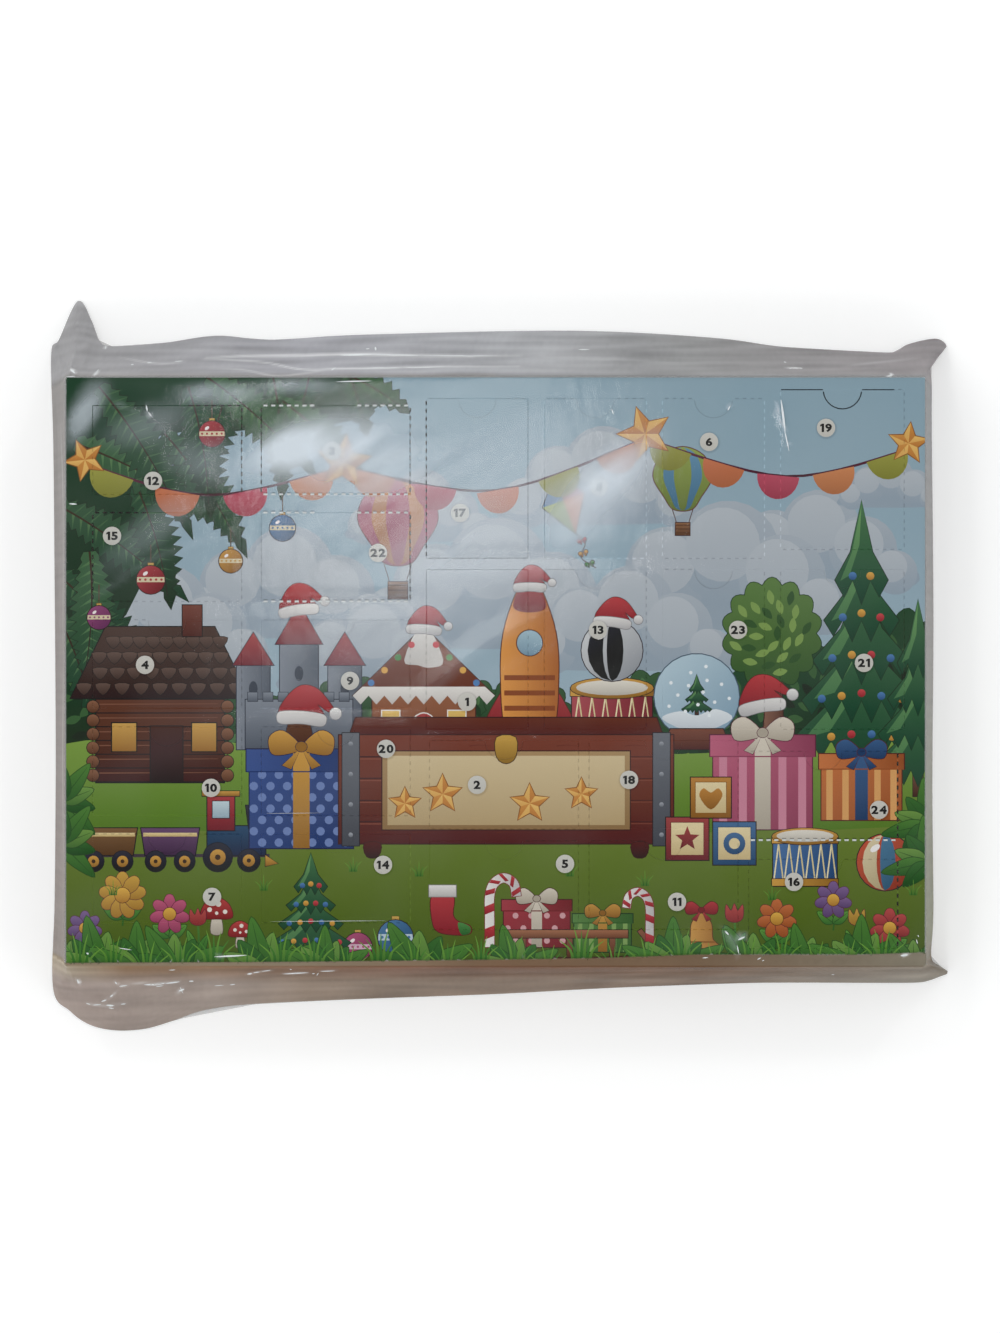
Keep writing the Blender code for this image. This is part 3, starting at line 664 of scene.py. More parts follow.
def train(b, long):
    """An engine and two open wagons, in hundredths of their length."""
    t, line = b.sized(long / 100), "2E2A34"

    def wheel(x, r):
        t.oval(x, r, r, r, f"3C3C46 22222A {line}", 0.3, steps=20)
        t.oval(x, r, 0.55 * r, 0.55 * r, "C9963C 94682C", steps=14)
        t.oval(x, r, 0.2 * r, 0.2 * r, "4A3A2C", steps=8)

    t.slab(4, 7, 92, 1.6, "4A4048")
    for x, colours in ((6, "7C5C3E 5A402C"), (36, "6B4E6E 48344C")):
        t.poly([(x, 8), (x + 24, 8), (x + 26, 21), (x - 2, 21)], f"{colours} {line}", 0.45)
        t.slab(x - 1, 17, 26, 1.8, "D9C48E BFA468")
        wheel(x + 5, 5)
        wheel(x + 19, 5)
    t.slab(66, 8, 28, 14, f"35506E 20344C {line}", 0.45)
    t.slab(66, 20, 13, 17, f"A83C40 742A32 {line}", 0.45)
    t.slab(68.5, 26, 8, 8, f"B9CBD2 8FA6B2 {line}", 0.3)
    t.slab(63.5, 36.5, 18, 2.4, f"{BRASS} {line}", 0.3)
    t.poly([(86, 21), (91, 21), (92.5, 32), (84.5, 32)], f"3C3C46 22222A {line}", 0.35)
    t.poly([(94, 8), (100, 4), (94, 2.6)], f"{BRASS} {line}", 0.3)
    wheel(71, 7)
    wheel(86, 5.4)
    for x, y, r in ((91, 37, 3), (95, 43, 4.2), (101, 50, 5.4)):
        t.oval(x, y, r, r, "C7CCD0 A3ABB2")


def chest(b, wide, high):
    """A long wooden toy chest with iron corners and a bare pale panel."""
    t, line = b.sized(wide, high), "46261F"
    t.poly([(-0.48, 0.9), (0.48, 0.9), (0.45, 1.16), (-0.45, 1.16)], f"6A382C 4C2822 {line}", 0.5)
    t.slab(-0.5, 0, 1, 1, f"7C4234 582C25 {line}", 0.5)
    for n in range(1, 5):
        y, end = high * n / 5, wide * 0.49
        b.band([(-end, y), (-wide * 0.1, y + 0.5 * math.sin(n * 2.3)), (end, y)], (0.6, 0.3), "4A251F")
        b.band([(-end, y - 0.9), (end, y - 0.8)], (0.4, 0.2), "8C5040")
    for n in range(22):
        x, y = wide * (0.47 * math.sin(n * 2.4)), high * (0.1 + 0.2 * (n % 5))
        b.band([(x - 4, y), (x, y + 0.4), (x + 5, y)], (0.35, 0.1), "66342A")
    t.slab(-0.37, 0.13, 0.74, 0.72, "A88A60 8C6E48 4A2A20", 0.5)
    t.slab(-0.355, 0.17, 0.71, 0.64, "CBB78E B39B70")
    for side in (-1, 1):
        x = side * wide * 0.465
        strap = slab(x - wide * 0.025, -high * 0.02, wide * 0.05, high * 1.04)
        b.paint(strap, "6C7078 4A4D55 2C2E34", 0.35)
        for n in range(4):
            b.paint(oval(x, high * (0.08 + 0.28 * n), 1, steps=10), "9A9EA6 6C7078")
        foot = [(side * wide * 0.4 + x, y) for x, y in ((-2.4, -high * 0.12), (-3.4, 0), (3.4, 0), (2.4, -high * 0.12))]
        b.blob(3, foot, f"5A3028 3E201C {line}", 0.3)
    lock = both([(-4, 0.98), (-4, 0.8), (0, 0.74)])
    b.sized(1, high).blob(3, lock, "C49A3C 8E6A26 4A3A1C", 0.35)


def bough(b, long, wide, colours):
    """A fir bough that hangs along x from the origin, with toothed edges, in a fill, a shade and a light."""
    fill, shade, light = colours.split()
    count = max(5, int(long / 4))
    upper, lower, inner = [], [], []
    for n in range(count + 1):
        t = n / count
        half = wide * (0.35 + 0.65 * math.sin(min(1, 1.6 * t) * math.pi / 2)) * (1 - t**3)
        drop = -0.14 * long * t * t
        upper += [(long * t, drop + half * 0.62), (long * t + 2.6, drop + half)]
        lower += [(long * t, drop - half * 0.62), (long * t + 2.6, drop - half)]
        inner.append((long * t * 0.96, drop))
    b.paint([*upper[:-2], (long * 1.08, -0.16 * long), *lower[:-2][::-1]], f"{fill} {shade} 22382C", 0.3)
    for n in range(1, count - 1):
        (x, y), side = inner[n], 0.55 * wide * (1 - (n / count) ** 3)
        for way in (-1, 1):
            b.paint([(x, y - 0.35), (x + 3.4, y + way * side), (x + 1.2, y)], f"{light} {fill}")
    b.band(inner, (0.9, 0.3), "453A2C 3A3228")


def cabin(b, wide, high):
    """A log cabin with a broad roof and lit windows."""
    t, line = b.sized(wide, high), "2E1E1A"
    t.slab(-0.4, 0, 0.8, 0.62, f"6A4436 4A2F28 {line}", 0.45)
    for n in range(7):
        y = high * 0.62 * (n + 0.5) / 7
        for side in (-1, 1):
            b.paint(oval(side * wide * 0.42, y, 2.6, steps=12), f"8A6048 5C3E30 {line}", 0.3)
        b.band([(-wide * 0.4, y - 2.7), (wide * 0.4, y - 2.7)], (0.5, 0.5), "38241F")
        b.band([(-wide * 0.38, y + 1), (wide * 0.36, y + 1.2)], (0.5, 0.2), "7E5443")
    t.slab(-0.06, 0, 0.2, 0.36, f"50352C 38241F {line}")
    for x in (0.2, -0.3):
        t.slab(x, 0.2, 0.15, 0.18, f"C79A48 9A6C30 {line}", 0.5)
    t.poly([(-0.56, 0.54), (0.56, 0.54), (0.34, 1), (-0.34, 1)], f"54423C 3A2E2C {line}", 0.45)
    for n in range(4):
        y = high * (0.6 + 0.1 * n)
        for k in range(9):
            x = wide * (0.5 - 0.05 * n) * (k - 4 + 0.5 * (n % 2)) / 4.2
            b.blob(3, [(x - 3.2, y + 2), (x, y - 2.6), (x + 3.2, y + 2)], f"66524A 483A36 {line}", 0.2)
    t.slab(0.14, 0.94, 0.12, 0.2, f"7A4A40 563430 {line}")


def sledge(b, wide):
    """A sledge, in fortieths of its width."""
    t, line = b.sized(wide / 40), "3E2620"
    runner = [(-20, 2), (-18, 0.6), (14, 0.6), (20, 4), (18, 8)]
    t.band(runner, (1.2 * t.wide,), f"8A5A44 5A382C {line}", 0.3)
    for x in (-12, 0, 11):
        t.slab(x - 0.7, 1, 1.4, 6, f"8A5A44 5A382C {line}", 0.25)
    t.slab(-18, 6, 33, 2, f"A06A4C 704634 {line}", 0.3)


STEM, LEAF = "4F7F3A 36602F", "5C923E 3C6C34"


def flower(b, r, colours):
    stem = 13
    b.band([(0, 0), (0.5, -stem / 2), (0, -stem)], (0.9, 0.7), STEM)
    for side in (-1, 1):
        leaf(b.at(0, -stem * 0.75, 1, -side * 55), r * 1.1, r * 0.5, LEAF)
    petals = 9 if r > 8 else 7
    for n in range(petals):
        t = b.at(0, 0, 1, 360 * n / petals).sized(r)
        t.blob(3, both([(0, 0), (0.3, 0.55), (0.16, 1)]), f"{colours} 5A2A3C", 0.22)
    b.sized(r).oval(0, 0, 0.34, 0.34, "D9A83C A8742C 5A3A22", 0.25, steps=16)


def tulip(b, high, colours):
    b.band([(0, 0), (0.4, high * 0.4), (0, high * 0.7)], (1, 0.8), STEM)
    leaf(b.at(0, 0, 1, 22), high * 0.6, high * 0.16, LEAF)
    leaf(b.at(0, 0, 1, -24), high * 0.5, high * 0.15, "4C8238 33602F")
    cup = both([(0, 0.66), (1, 0.74), (1, 1), (0.4, 0.88), (0, 1.02)])
    b.sized(high * 0.16, high).blob(3, cup, f"{colours} 5A2A3C", 0.25)


def toadstool(b, high):
    t = b.sized(high)
    t.blob(4, both([(-0.16, 0), (-0.1, 0.5)]), "CFC5B4 A39A8C 5E5448", 0.3)
    t.blob(5, [*both([(-0.44, 0.44), (-0.34, 0.82), (0, 1)]), (0, 0.4)], "B4403E 80282C 5A1C22", 0.3)
    for x, y, r in ((-0.2, 0.66, 0.07), (0.05, 0.82, 0.08), (0.24, 0.6, 0.065), (0, 0.56, 0.05)):
        t.oval(x, y, r, r, "DAD2C8", steps=10)


def bell(b, high):
    t = b.at(0, 0, high)
    t.oval(0, -0.06, 0.1, 0.1, "8A5A2C 5E3C1E 4A2E18", 0.2, steps=12)
    t.blob(5, both([(-0.42, 0), (-0.28, 0.2), (-0.24, 0.6), (0, 0.84)]), "CF9A45 98652C 5E3C1E", 0.35, 0)
    t.slab(-0.34, 0.1, 0.68, 0.05, "8E5E2A")
    bow(t.at(0, 0.92), 0.8, "B03A3E 7C262E 5A1C22")


def snow_globe(b, r):
    t = b.sized(r)
    t.oval(0, 1.25, 1, 1, "A9C0CC 7E9CB0 4A5A6A", 0.45, -50, steps=26)
    t.blob(4, [(-0.82, 0.72), (-0.4, 0.9), (0, 0.8), (0.45, 0.95), (0.84, 0.72), (0, 0.4)], "D6DCE0 B5BEC6")
    fir(b.at(0, 0.82 * r), 0.95 * r, 0.7 * r, 3, trims=False)
    for _, x, y in scatter(14, 0.8 * r, 0.7 * r):
        b.paint(oval(x, 1.35 * r + y, 0.045 * r, steps=6), "DDE3E6")
    t.poly([(-0.8, 0), (0.8, 0), (0.62, 0.48), (-0.62, 0.48)], "7C4A3A 55302A 3A221C")


def kite(b, size):
    t, line = b.sized(size), "3A2A2A"
    t.band([(0, -1), (0.2, -1.4), (-0.1, -1.8), (0.25, -2.3)], (0.45,), "5A4A4A")
    for n, (x, colours) in enumerate(((0.12, "C9454A 8E2A32"), (0.02, "D9A441 A9742C"), (0.1, HOLLY))):
        bow(b.at(x * size, -(1.3 + 0.4 * n) * size), 0.3 * size, f"{colours} {line}")
    corners = [(0, 1), (0.72, 0.15), (0, -1), (-0.72, 0.15)]
    t.poly(corners, f"{line} {line} {line}")
    for n, colours in enumerate(("C75B7B 9A3E5C", "D98B4A AA5F30", "9AA84A 6E7E34", "5B8DB5 3C6890")):
        t.poly([(0, 0.15), corners[n], corners[(n + 1) % 4]], colours)


# The picture

# Where each cloud stands, and its width
CLOUDS = (
    (150, 182, 62), (226, 190, 84), (318, 162, 86), (278, 146, 110), (180, 138, 112), (92, 142, 96), (350, 196, 44),
    (238, 128, 90), (130, 118, 80), (40, 128, 90),
)
# Where each bough hangs, its tilt, length and width
BOUGHS = (
    (118, 256, -64, 30, 8), (104, 254, -100, 40, 9), (122, 250, -24, 26, 7), (88, 250, -78, 48, 10),
    (70, 254, -100, 54, 11), (92, 240, -36, 44, 10), (-4, 150, -62, 46, 11), (-6, 168, -38, 56, 12),
    (10, 176, -84, 54, 12), (-4, 196, -28, 64, 12), (30, 204, -66, 50, 12), (4, 222, -20, 74, 13),
    (42, 226, -48, 58, 12), (52, 246, -72, 52, 12), (60, 250, -34, 58, 12), (14, 246, -50, 70, 13),
)
# Where each bauble hangs, its radius and its colours
BAUBLES = (
    (36, 164, 6, "A63A40 76262E"), (70, 172, 5, "BE8C3A 8C602A"), (92, 186, 5.5, "466F9C 2E5074"),
    (14, 148, 5, "8E4672 66305A"), (62, 226, 5.5, "A63A40 76262E"),
)
# Where each flower's middle is, its radius and its colours
FLOWERS = (
    (24, 30, 9.5, "C49A3A A0742C"), (44, 22, 8, "BC5676 8E3C5A"), (302, 20, 8, "BE6A3A 965028"),
    (326, 28, 7.5, "7C6090 5A446C"), (350, 16, 8, "B44A48 863436"), (8, 16, 7, "7C6090 5A446C"),
)
BOUGH_GREENS = ("3E5C44 2C4636 54774F", "36543E 263E31 4B6E4A", "456748 2F4A38 5B8054")
LEAF_GREENS = ("4F8038 335E30", "3F6E36 28502C", "6C9444 456E36")
PENNANTS = ("9A9A42 808036", "C47048 A8603C", "B8485E 9A3A4C", "C9804E AA683E")


def paint_picture():
    """The whole front: sky, trees, hedges, meadow, toys, bunting and flowers."""
    b = Brush()
    b.slab(-1, 80, FRONT_WIDE + 2, FRONT_HIGH - 79, "87A2B0 98AEBB")
    b.slab(-1, -1, FRONT_WIDE + 2, 96, "7A903E 4A5E24")
    for x, y, wide in CLOUDS:
        cloud(b.at(x, y), wide)
    paint_far_hedge(b)
    paint_trees(b)
    paint_middle(b)
    paint_bunting(b)
    paint_meadow(b)


def paint_far_hedge(b):
    for n in range(16):
        spot = b.at(-4 + 25 * n, 88 + 4 * math.sin(n * 1.9))
        shrub(spot, 38, 30 + 6 * math.sin(n * 2.7), "3F5E3F 2A4432 50744A")
    for x, y, wide, high in ((8, 92, 50, 52), (352, 84, 60, 66), (318, 84, 50, 50), (286, 86, 40, 38)):
        shrub(b.at(x, y), wide, high, "34503A 24392D 42633F")
    hill = [(-6, 92), (50, 96), (120, 91), (190, 94), (260, 90), (330, 95), (372, 91), (372, 60), (-6, 60)]
    b.blob(6, hill, "7A9A42 577A2C")


def paint_trees(b):
    for n in range(4):
        b.oval(4 + 32 * n, 250 - 3 * n, 34, 27 - 5 * n, "34513D 2A4334")
    b.oval(2, 196, 36, 62, "304B39 283F32")
    for n, (x, y, tilt, long, wide) in enumerate(BOUGHS):
        bough(b.at(x, y, 1, tilt), long, wide, BOUGH_GREENS[n % 3])
    fir(b.at(338, 80), 118, 60, 5)
    round_tree(b.at(300, 88), 74, 40, "5E7F42 3C5A36 7C9A50")
    fir(b.at(362, 72), 84, 42, 4, trims=False)


def paint_middle(b):
    balloon(b.at(141, 190), 17, "B9566E 8C3A52", "C98A4C 9C6032")
    balloon(b.at(262, 208), 12.5, "8E9E48 66763A", "5E8CA8 3E6A88")
    kite(b.at(212, 196, 1, 20), 13)
    cabin(b.at(40, 78), 68, 66)
    castle(b.at(99, 92), 54, 62)
    house(b.at(152, 90), 52, 54)
    rocket(b.at(197, 94), 72)
    drum(b.at(232, 94), 34, 24, "A84A52 783038")
    ball(b.at(232, 121), 13, "C4C6C8 8E9298", "2E3038 1C1E26", "2E3038 1C1E26")
    snow_globe(b.at(268, 92), 18)
    for x, y, wide, tilt in ((99, 150, 17, 8), (232, 145, 16, -6), (197, 160, 14, 0), (152, 142, 15, -4)):
        hat(b.at(x, y), wide, tilt)
    train(b.at(2, 40), 88)
    parcel(b.at(100, 50), 44, 42, "3F5690 2B3D6C", "C9963C 94682C", "1E2A4A", dots="6A80B4")
    hat(b.at(100, 104), 21, -4)
    chest(b.at(187, 52), 142, 46)
    for x, y, size in ((144, 69, 7), (160, 73, 8.5), (197, 69, 8.5), (219, 73, 7)):
        gold_star(b.at(x, y), size)
    parcel(b.at(296, 58), 42, 40, "B95C78 8C3E58", "D0C6B6 A89E8E", "5E2A40", stripes="C67E94")
    hat(b.at(296, 109), 20, 10)
    parcel(b.at(338, 62), 34, 28, "C4713A 94502A", "3E5F8A 2A4266", "5A3018", stripes="D39A58")
    block(b.at(264, 45), 18, "9C4444 703036", "star")
    block(b.at(284, 43), 18, "466C96 2E4E72", "ring")
    block(b.at(274, 63), 17, "B98038 8A5C28", "heart")
    drum(b.at(314, 34), 27, 21, "486FA0 304E78")
    ball(b.at(348, 32), 12, "BC5238 8E3828", "CFC09C AC9C74", "4A7898 345C78")


def paint_bunting(b):
    bunting(b, [(6, 214), (60, 200), (118, 212)], 4, 19, PENNANTS)
    bunting(b, [(118, 212), (182, 202), (246, 224)], 5, 18, PENNANTS[::-1])
    bunting(b, [(246, 224), (306, 208), (360, 220)], 5, 18, PENNANTS)
    for x, y, r in ((8, 215, 9), (118, 214, 12), (246, 226, 12), (358, 222, 9)):
        gold_star(b.at(x, y, 1, x * 3), r)
    for x, y, r, colours in BAUBLES:
        bauble(b.at(x, y), r, colours, "CCBE9C", 9)


def paint_meadow(b):
    stocking(b.at(160, 14), 22)
    parcel(b.at(200, 8), 28, 20, "A03C46 74282F", "CCC2B2 A49A8A", "4E1C24", dots="C8969A")
    parcel(b.at(228, 6), 24, 16, "5A8246 3E6234", "BE8C3A 8C602A", "2A4422", stripes="7C9C58")
    sledge(b.at(214, 2), 66)
    cane(b.at(180, 8), 30)
    cane(b.at(248, 6), 26, -1)
    bauble(b.at(140, 12), 7.5, "46739C 2E5074", "AEBFCB")
    bauble(b.at(124, 8), 6, "A84C72 7A3454", "C9A4B6")
    bell(b.at(270, 8), 17)
    fir(b.at(104, 4), 44, 34, 4)
    toadstool(b.at(64, 14), 15)
    toadstool(b.at(74, 8), 11)
    for x, y, r, colours in FLOWERS:
        flower(b.at(x, y), r, colours)
    for x, high, colours in ((284, 22, "B44C48 863436"), (336, 20, "BE9638 98702C"), (56, 20, "B44C48 863436")):
        tulip(b.at(x, 4), high, colours)
    for n, x in enumerate((2, 14, 30, 46, 84, 110, 150, 190, 258, 292, 314, 338, 360)):
        frond(b.at(x, -4), 5 + n % 3, 20 + 6 * abs(math.sin(n * 1.3)), 120, LEAF_GREENS)
    for x, y in ((-2, 70), (-2, 52), (366, 60), (366, 44)):
        frond(b.at(x, y), 5, 20, 130, LEAF_GREENS, 20 if x < 9 else 160)
    for n in range(26):
        tuft(b.at(6 + 14.2 * n, -2 + 3 * math.sin(n * 2.2)), 12 + 4 * abs(math.cos(n * 1.7)))
    for x, y in ((20, 30), (84, 32), (122, 40), (246, 34), (300, 28), (360, 30), (150, 38), (214, 38)):
        tuft(b.at(x, y), 6, 5)


# Doors' edges, numbers and perforations over the picture: printed numbers, and painted shade and highlights at the
# doors' slits

BADGE_RADIUS, NUMERAL_HIGH, NUMERAL_TONE = 3.9, 3.6, "17181C"
# Dashes: one to the next, length, width and how far outside the door; half the notch's gap, and its own radius
PITCH, DASH, CUT, BESIDE, NOTCH, NOTCH_RADIUS = 3.3, 1.3, 0.3, 0.17, 8.3, 8.15
# The one door whose notch and upper edge are drawn as a dark line of painted shade, and that shade's colour
LINED_DOOR, SLIT_SHADE_TONE = 19, "333C42"
# How each door's left edge, top left, top right, right edge and lower edge show: d dark, a cut with painted shade
# round it and painted highlights between its dashes, p pale, with a strip of painted shade above, w weakly pale,
# f faint painted shade, - not at all
PERFORATIONS = {
    12: "ffddf", 3: "dppdp", 15: "dd-ff", 22: "fppdp", 4: "ff-f-", 9: "-fwfw", 10: "ff-f-", 20: "ff-ff", 7: "-ff--",
    14: "---wf", 17: "dffff", 8: "wffww", 6: "wffwf", 19: "wffff", 1: "f--f-", 13: "ff-f-", 23: "-f-f-", 21: "f--ff",
    2: "ff-ff", 18: "f--f-", 5: "--fff", 11: "ff-ff", 24: "-ffdp", 16: "fffdf",
}
BADGES = {
    1: (467, 701), 2: (477, 784), 3: (332, 450), 4: (145, 664), 5: (565, 863), 6: (709, 441), 7: (212, 896),
    8: (599, 486), 9: (350, 680), 10: (211, 787), 11: (677, 901), 12: (153, 480), 13: (598, 629), 14: (383, 864),
    15: (112, 535), 16: (794, 881), 17: (460, 512), 18: (629, 779), 19: (826, 427), 20: (386, 748), 21: (864, 662),
    22: (378, 552), 23: (738, 629), 24: (879, 809),
}


# A plain one, each sign's widening and the gap between two, as shares of a numeral's height
ONE = [np.array([(0.16, 0), (0.42, 0), (0.42, 1), (0.2, 1), (0, 0.86), (0, 0.64), (0.16, 0.74)])]
ONE_WIDER, SIGN_WIDER, SIGN_GAP = 1.12, 1.24, 0.13


def numeral(text, high):
    """The faces of a bold number, centred on the origin, in millimetres."""
    faces, reach = [], 0
    for sign in text:
        shape = ONE if sign == "1" else digit(sign)
        spots = np.vstack(shape)
        low, top = spots.min(0), spots.max(0)
        size = np.array([ONE_WIDER if sign == "1" else SIGN_WIDER, 1]) / (top[1] - low[1])
        faces += [(face - low) * size + (reach, 0) for face in shape]
        reach += (top[0] - low[0]) * size[0] + SIGN_GAP
    return [(face - ((reach - SIGN_GAP) / 2, 0.5)) * high for face in faces]


def digit(sign):
    """One sign's faces in Blender's own font."""
    data = bpy.data.curves.new("numeral", "FONT")
    data.body = sign
    data.size = 1
    data.offset = 0.045
    data.resolution_u = 3
    piece = new_piece("numeral", data)
    bpy.context.view_layer.update()
    mesh = piece.evaluated_get(bpy.context.evaluated_depsgraph_get()).to_mesh()
    spots = np.array([v.co[:2] for v in mesh.vertices])
    faces = [spots[list(p.vertices)] for p in mesh.polygons]
    bpy.data.objects.remove(piece)
    return faces


def rim_loops(faces):
    """Closed runs of the edges that only one face has, each in that face's direction."""
    follow = {}
    edges = {(f[k], f[(k + 1) % len(f)]) for f in faces for k in range(len(f))}
    for a, b in edges:
        if (b, a) not in edges:
            follow.setdefault(a, []).append(b)
    loops = []
    while follow:
        start = next(iter(follow))
        loop, at = [], start
        while True:
            loop.append(at)
            step = follow[at].pop()
            if not follow[at]:
                del follow[at]
            at = step
            if at == start:
                break
        loops.append(loop)
    return loops


def paint_badges(b):
    """A pale disc with a soft shadow and a number at each door's badge."""
    for number, spot in BADGES.items():
        x, y = front(*spot)
        for grow, shade in ((0.9, 0.93), (0.5, 0.86)):
            add_tint([oval(x + 0.15, y - 0.25, BADGE_RADIUS + grow, steps=28)], shade)
        b.oval(x, y, BADGE_RADIUS, BADGE_RADIUS, "C6C4BD BDBAB2", steps=32)
        loops = [loop + (x, y) for loop in numeral(str(number), NUMERAL_HIGH)]
        ys = np.vstack(loops)[:, 1]
        shapes.append(Shape(loops, rgb(NUMERAL_TONE), rgb(NUMERAL_TONE), UP, ys.min(), ys.max(), False))


def door_edges(number):
    """A door's left, lower, right and upper edges, in front millimetres."""
    low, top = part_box(f"door_{number:02d}")
    return [(corner[k] - FRONT_LOW[k]) / MM for corner in (low, top) for k in (0, 1)]


def paint_cuts(b):
    """Perforation dashes round the doors, with painted shade at the slits. The dark ones are cut through, and their
    cuts are returned.
    """
    cuts = []
    for number in NUMBERS:
        x0, y0, x1, y1 = door_edges(number)
        left, first, last, right, lower = PERFORATIONS[number]
        middle = (x0 + x1) / 2
        for x, way, kind in ((x0, -1, left), (x1, 1, right)):
            for y in dashes(y0, y1):
                cuts += dash(b, (x + way * BESIDE, y), (CUT / 2, DASH / 2), kind)
        for start, end, kind in ((x0, middle - NOTCH, first), (middle + NOTCH, x1, last)):
            for x in dashes(start, end):
                cuts += dash(b, (x, y1 + BESIDE), (DASH / 2, CUT / 2), kind)
        for x in dashes(x0, x1):
            cuts += dash(b, (x, y0 - BESIDE), (DASH / 2, CUT / 2), lower)
        if first == "-":
            continue
        # The thumb notch: on one door a dark line of painted shade along it and the upper edge; elsewhere a faint tint,
        # pale beside pale dashes and painted shade beside the rest
        turns = np.linspace(-math.pi + 0.1, -0.1, 15)
        arc = [(middle + NOTCH_RADIUS * math.cos(t), y1 + 0.1 + NOTCH_RADIUS * math.sin(t)) for t in turns]
        if number == LINED_DOOR:
            b.band(arc, (0.5, None, 1), SLIT_SHADE_TONE)
            for start, end in ((x0, middle - NOTCH), (middle + NOTCH, x1 - 4)):
                b.slab(start, y1 - 0.12, end - start, 0.45, SLIT_SHADE_TONE)
        else:
            add_tint([ribbon(arc, 0.35, steps=1)], 1.18 if first == "p" else 0.84)
    return cuts


def dashes(start, end):
    """The dashes' middles along an edge."""
    count = max(1, round((end - start) / PITCH))
    return [start + (end - start) * (n + 0.5) / count for n in range(count)]


def dash(b, middle, half, kind):
    """One dash, and the cut through the board under it if it is dark; dark and faint dashes are painted shade."""
    (x, y), (across, up) = middle, half
    wide = {"d": 0.2, "p": 0.22}.get(kind, 0.12)
    outline = slab(x - across - wide, y - up - wide, 2 * (across + wide), 2 * (up + wide))
    # A dark dash: painted shade round the real cut, with a painted highlight halfway to the next dash
    if kind == "d":
        beyond = np.array([0, PITCH / 2] if up > across else [PITCH / 2, 0])
        add_tint([np.array(slab(x - 0.3, y - 0.3, 0.6, 0.6)) + beyond], 1.3)
        b.paint(outline, "1E2A2C")
        return [np.array(slab(x - across + 0.04, y - up + 0.04, 2 * across - 0.08, 2 * up - 0.08))]
    # A pale dash, with a strip of painted shade above it
    if kind == "p":
        add_tint([np.array(outline) + (0, 0.6)], 0.55)
        b.paint(outline, "D2D6D4 C2C8C8")
    # A weakly pale dash is lightened; a faint one is a dash of painted shade
    if kind in "wf":
        add_tint([outline], 1.3 if kind == "w" else 0.76)
    return []


def add_tint(loops, share):
    """A shape that makes what lies under it that share as bright."""
    tone = np.full(3, share)
    shapes.append(Shape([np.array(loop) for loop in loops], tone, tone, UP, 0.0, 1.0, True))


# The board: each door and the panel is cut out of one overlay of all the shapes


def top_loops(node):
    """Outlines of a board's upper face, in front millimetres."""
    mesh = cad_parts[node].data
    spots = np.array([v.co for v in mesh.vertices])
    level = spots[:, 2].max() - 1e-6
    keys, names = {}, []
    for spot in spots:
        key = tuple(np.round(spot / 1e-6).astype(int))
        names.append(keys.setdefault(key, len(keys)))
    places = np.zeros((len(keys), 3))
    places[names] = spots
    faces = [[names[n] for n in p.vertices] for p in mesh.polygons if all(spots[n][2] > level for n in p.vertices)]
    return [(places[loop][:, :2] - (FRONT_LOW.x, FRONT_LOW.y)) / MM for loop in rim_loops(faces)]


def inside(loops, spots):
    """Which spots the loops wind round."""
    total = np.zeros(len(spots), int)
    x, y = spots[:, 0], spots[:, 1]
    for loop in loops:
        for (ax, ay), (bx, by) in zip(loop, np.roll(loop, -1, 0)):
            if ay == by:
                continue
            low, high, way = (ay, by, 1) if ay < by else (by, ay, -1)
            hit = (y >= low) & (y < high)
            if hit.any():
                across = ax + (y[hit] - ay) * (bx - ax) / (by - ay)
                total[hit] += way * (x[hit] < across)
    return total != 0


def triangulate(loops, grid=()):
    """Spots and triangles that keep the loops' edges and the grid's points."""
    points, edges = [tuple(p) for p in grid], []
    for loop in loops:
        start, count = len(points), len(loop)
        points += [tuple(p) for p in loop]
        edges += [(start + n, start + (n + 1) % count) for n in range(count)]
    found = delaunay_2d_cdt(points, edges, [], 0, 1e-4, False)
    return np.array([tuple(v) for v in found[0]]), np.array(found[2])


def nearest(known, wanted):
    """The place in known of the point nearest to each wanted one."""
    tree = KDTree(len(known))
    for n, (x, y) in enumerate(known):
        tree.insert((x, y, 0), n)
    tree.balance()
    return np.array([tree.find((x, y, 0))[1] for x, y in wanted])


# The print against the shapes' own colours: how grey, how strong, how much darker, and its darkest
PRINT_GREY, PRINT_CONTRAST, PRINT_DARKER, PRINT_BLACK = 0.12, 1.03, 0.027, 0.004


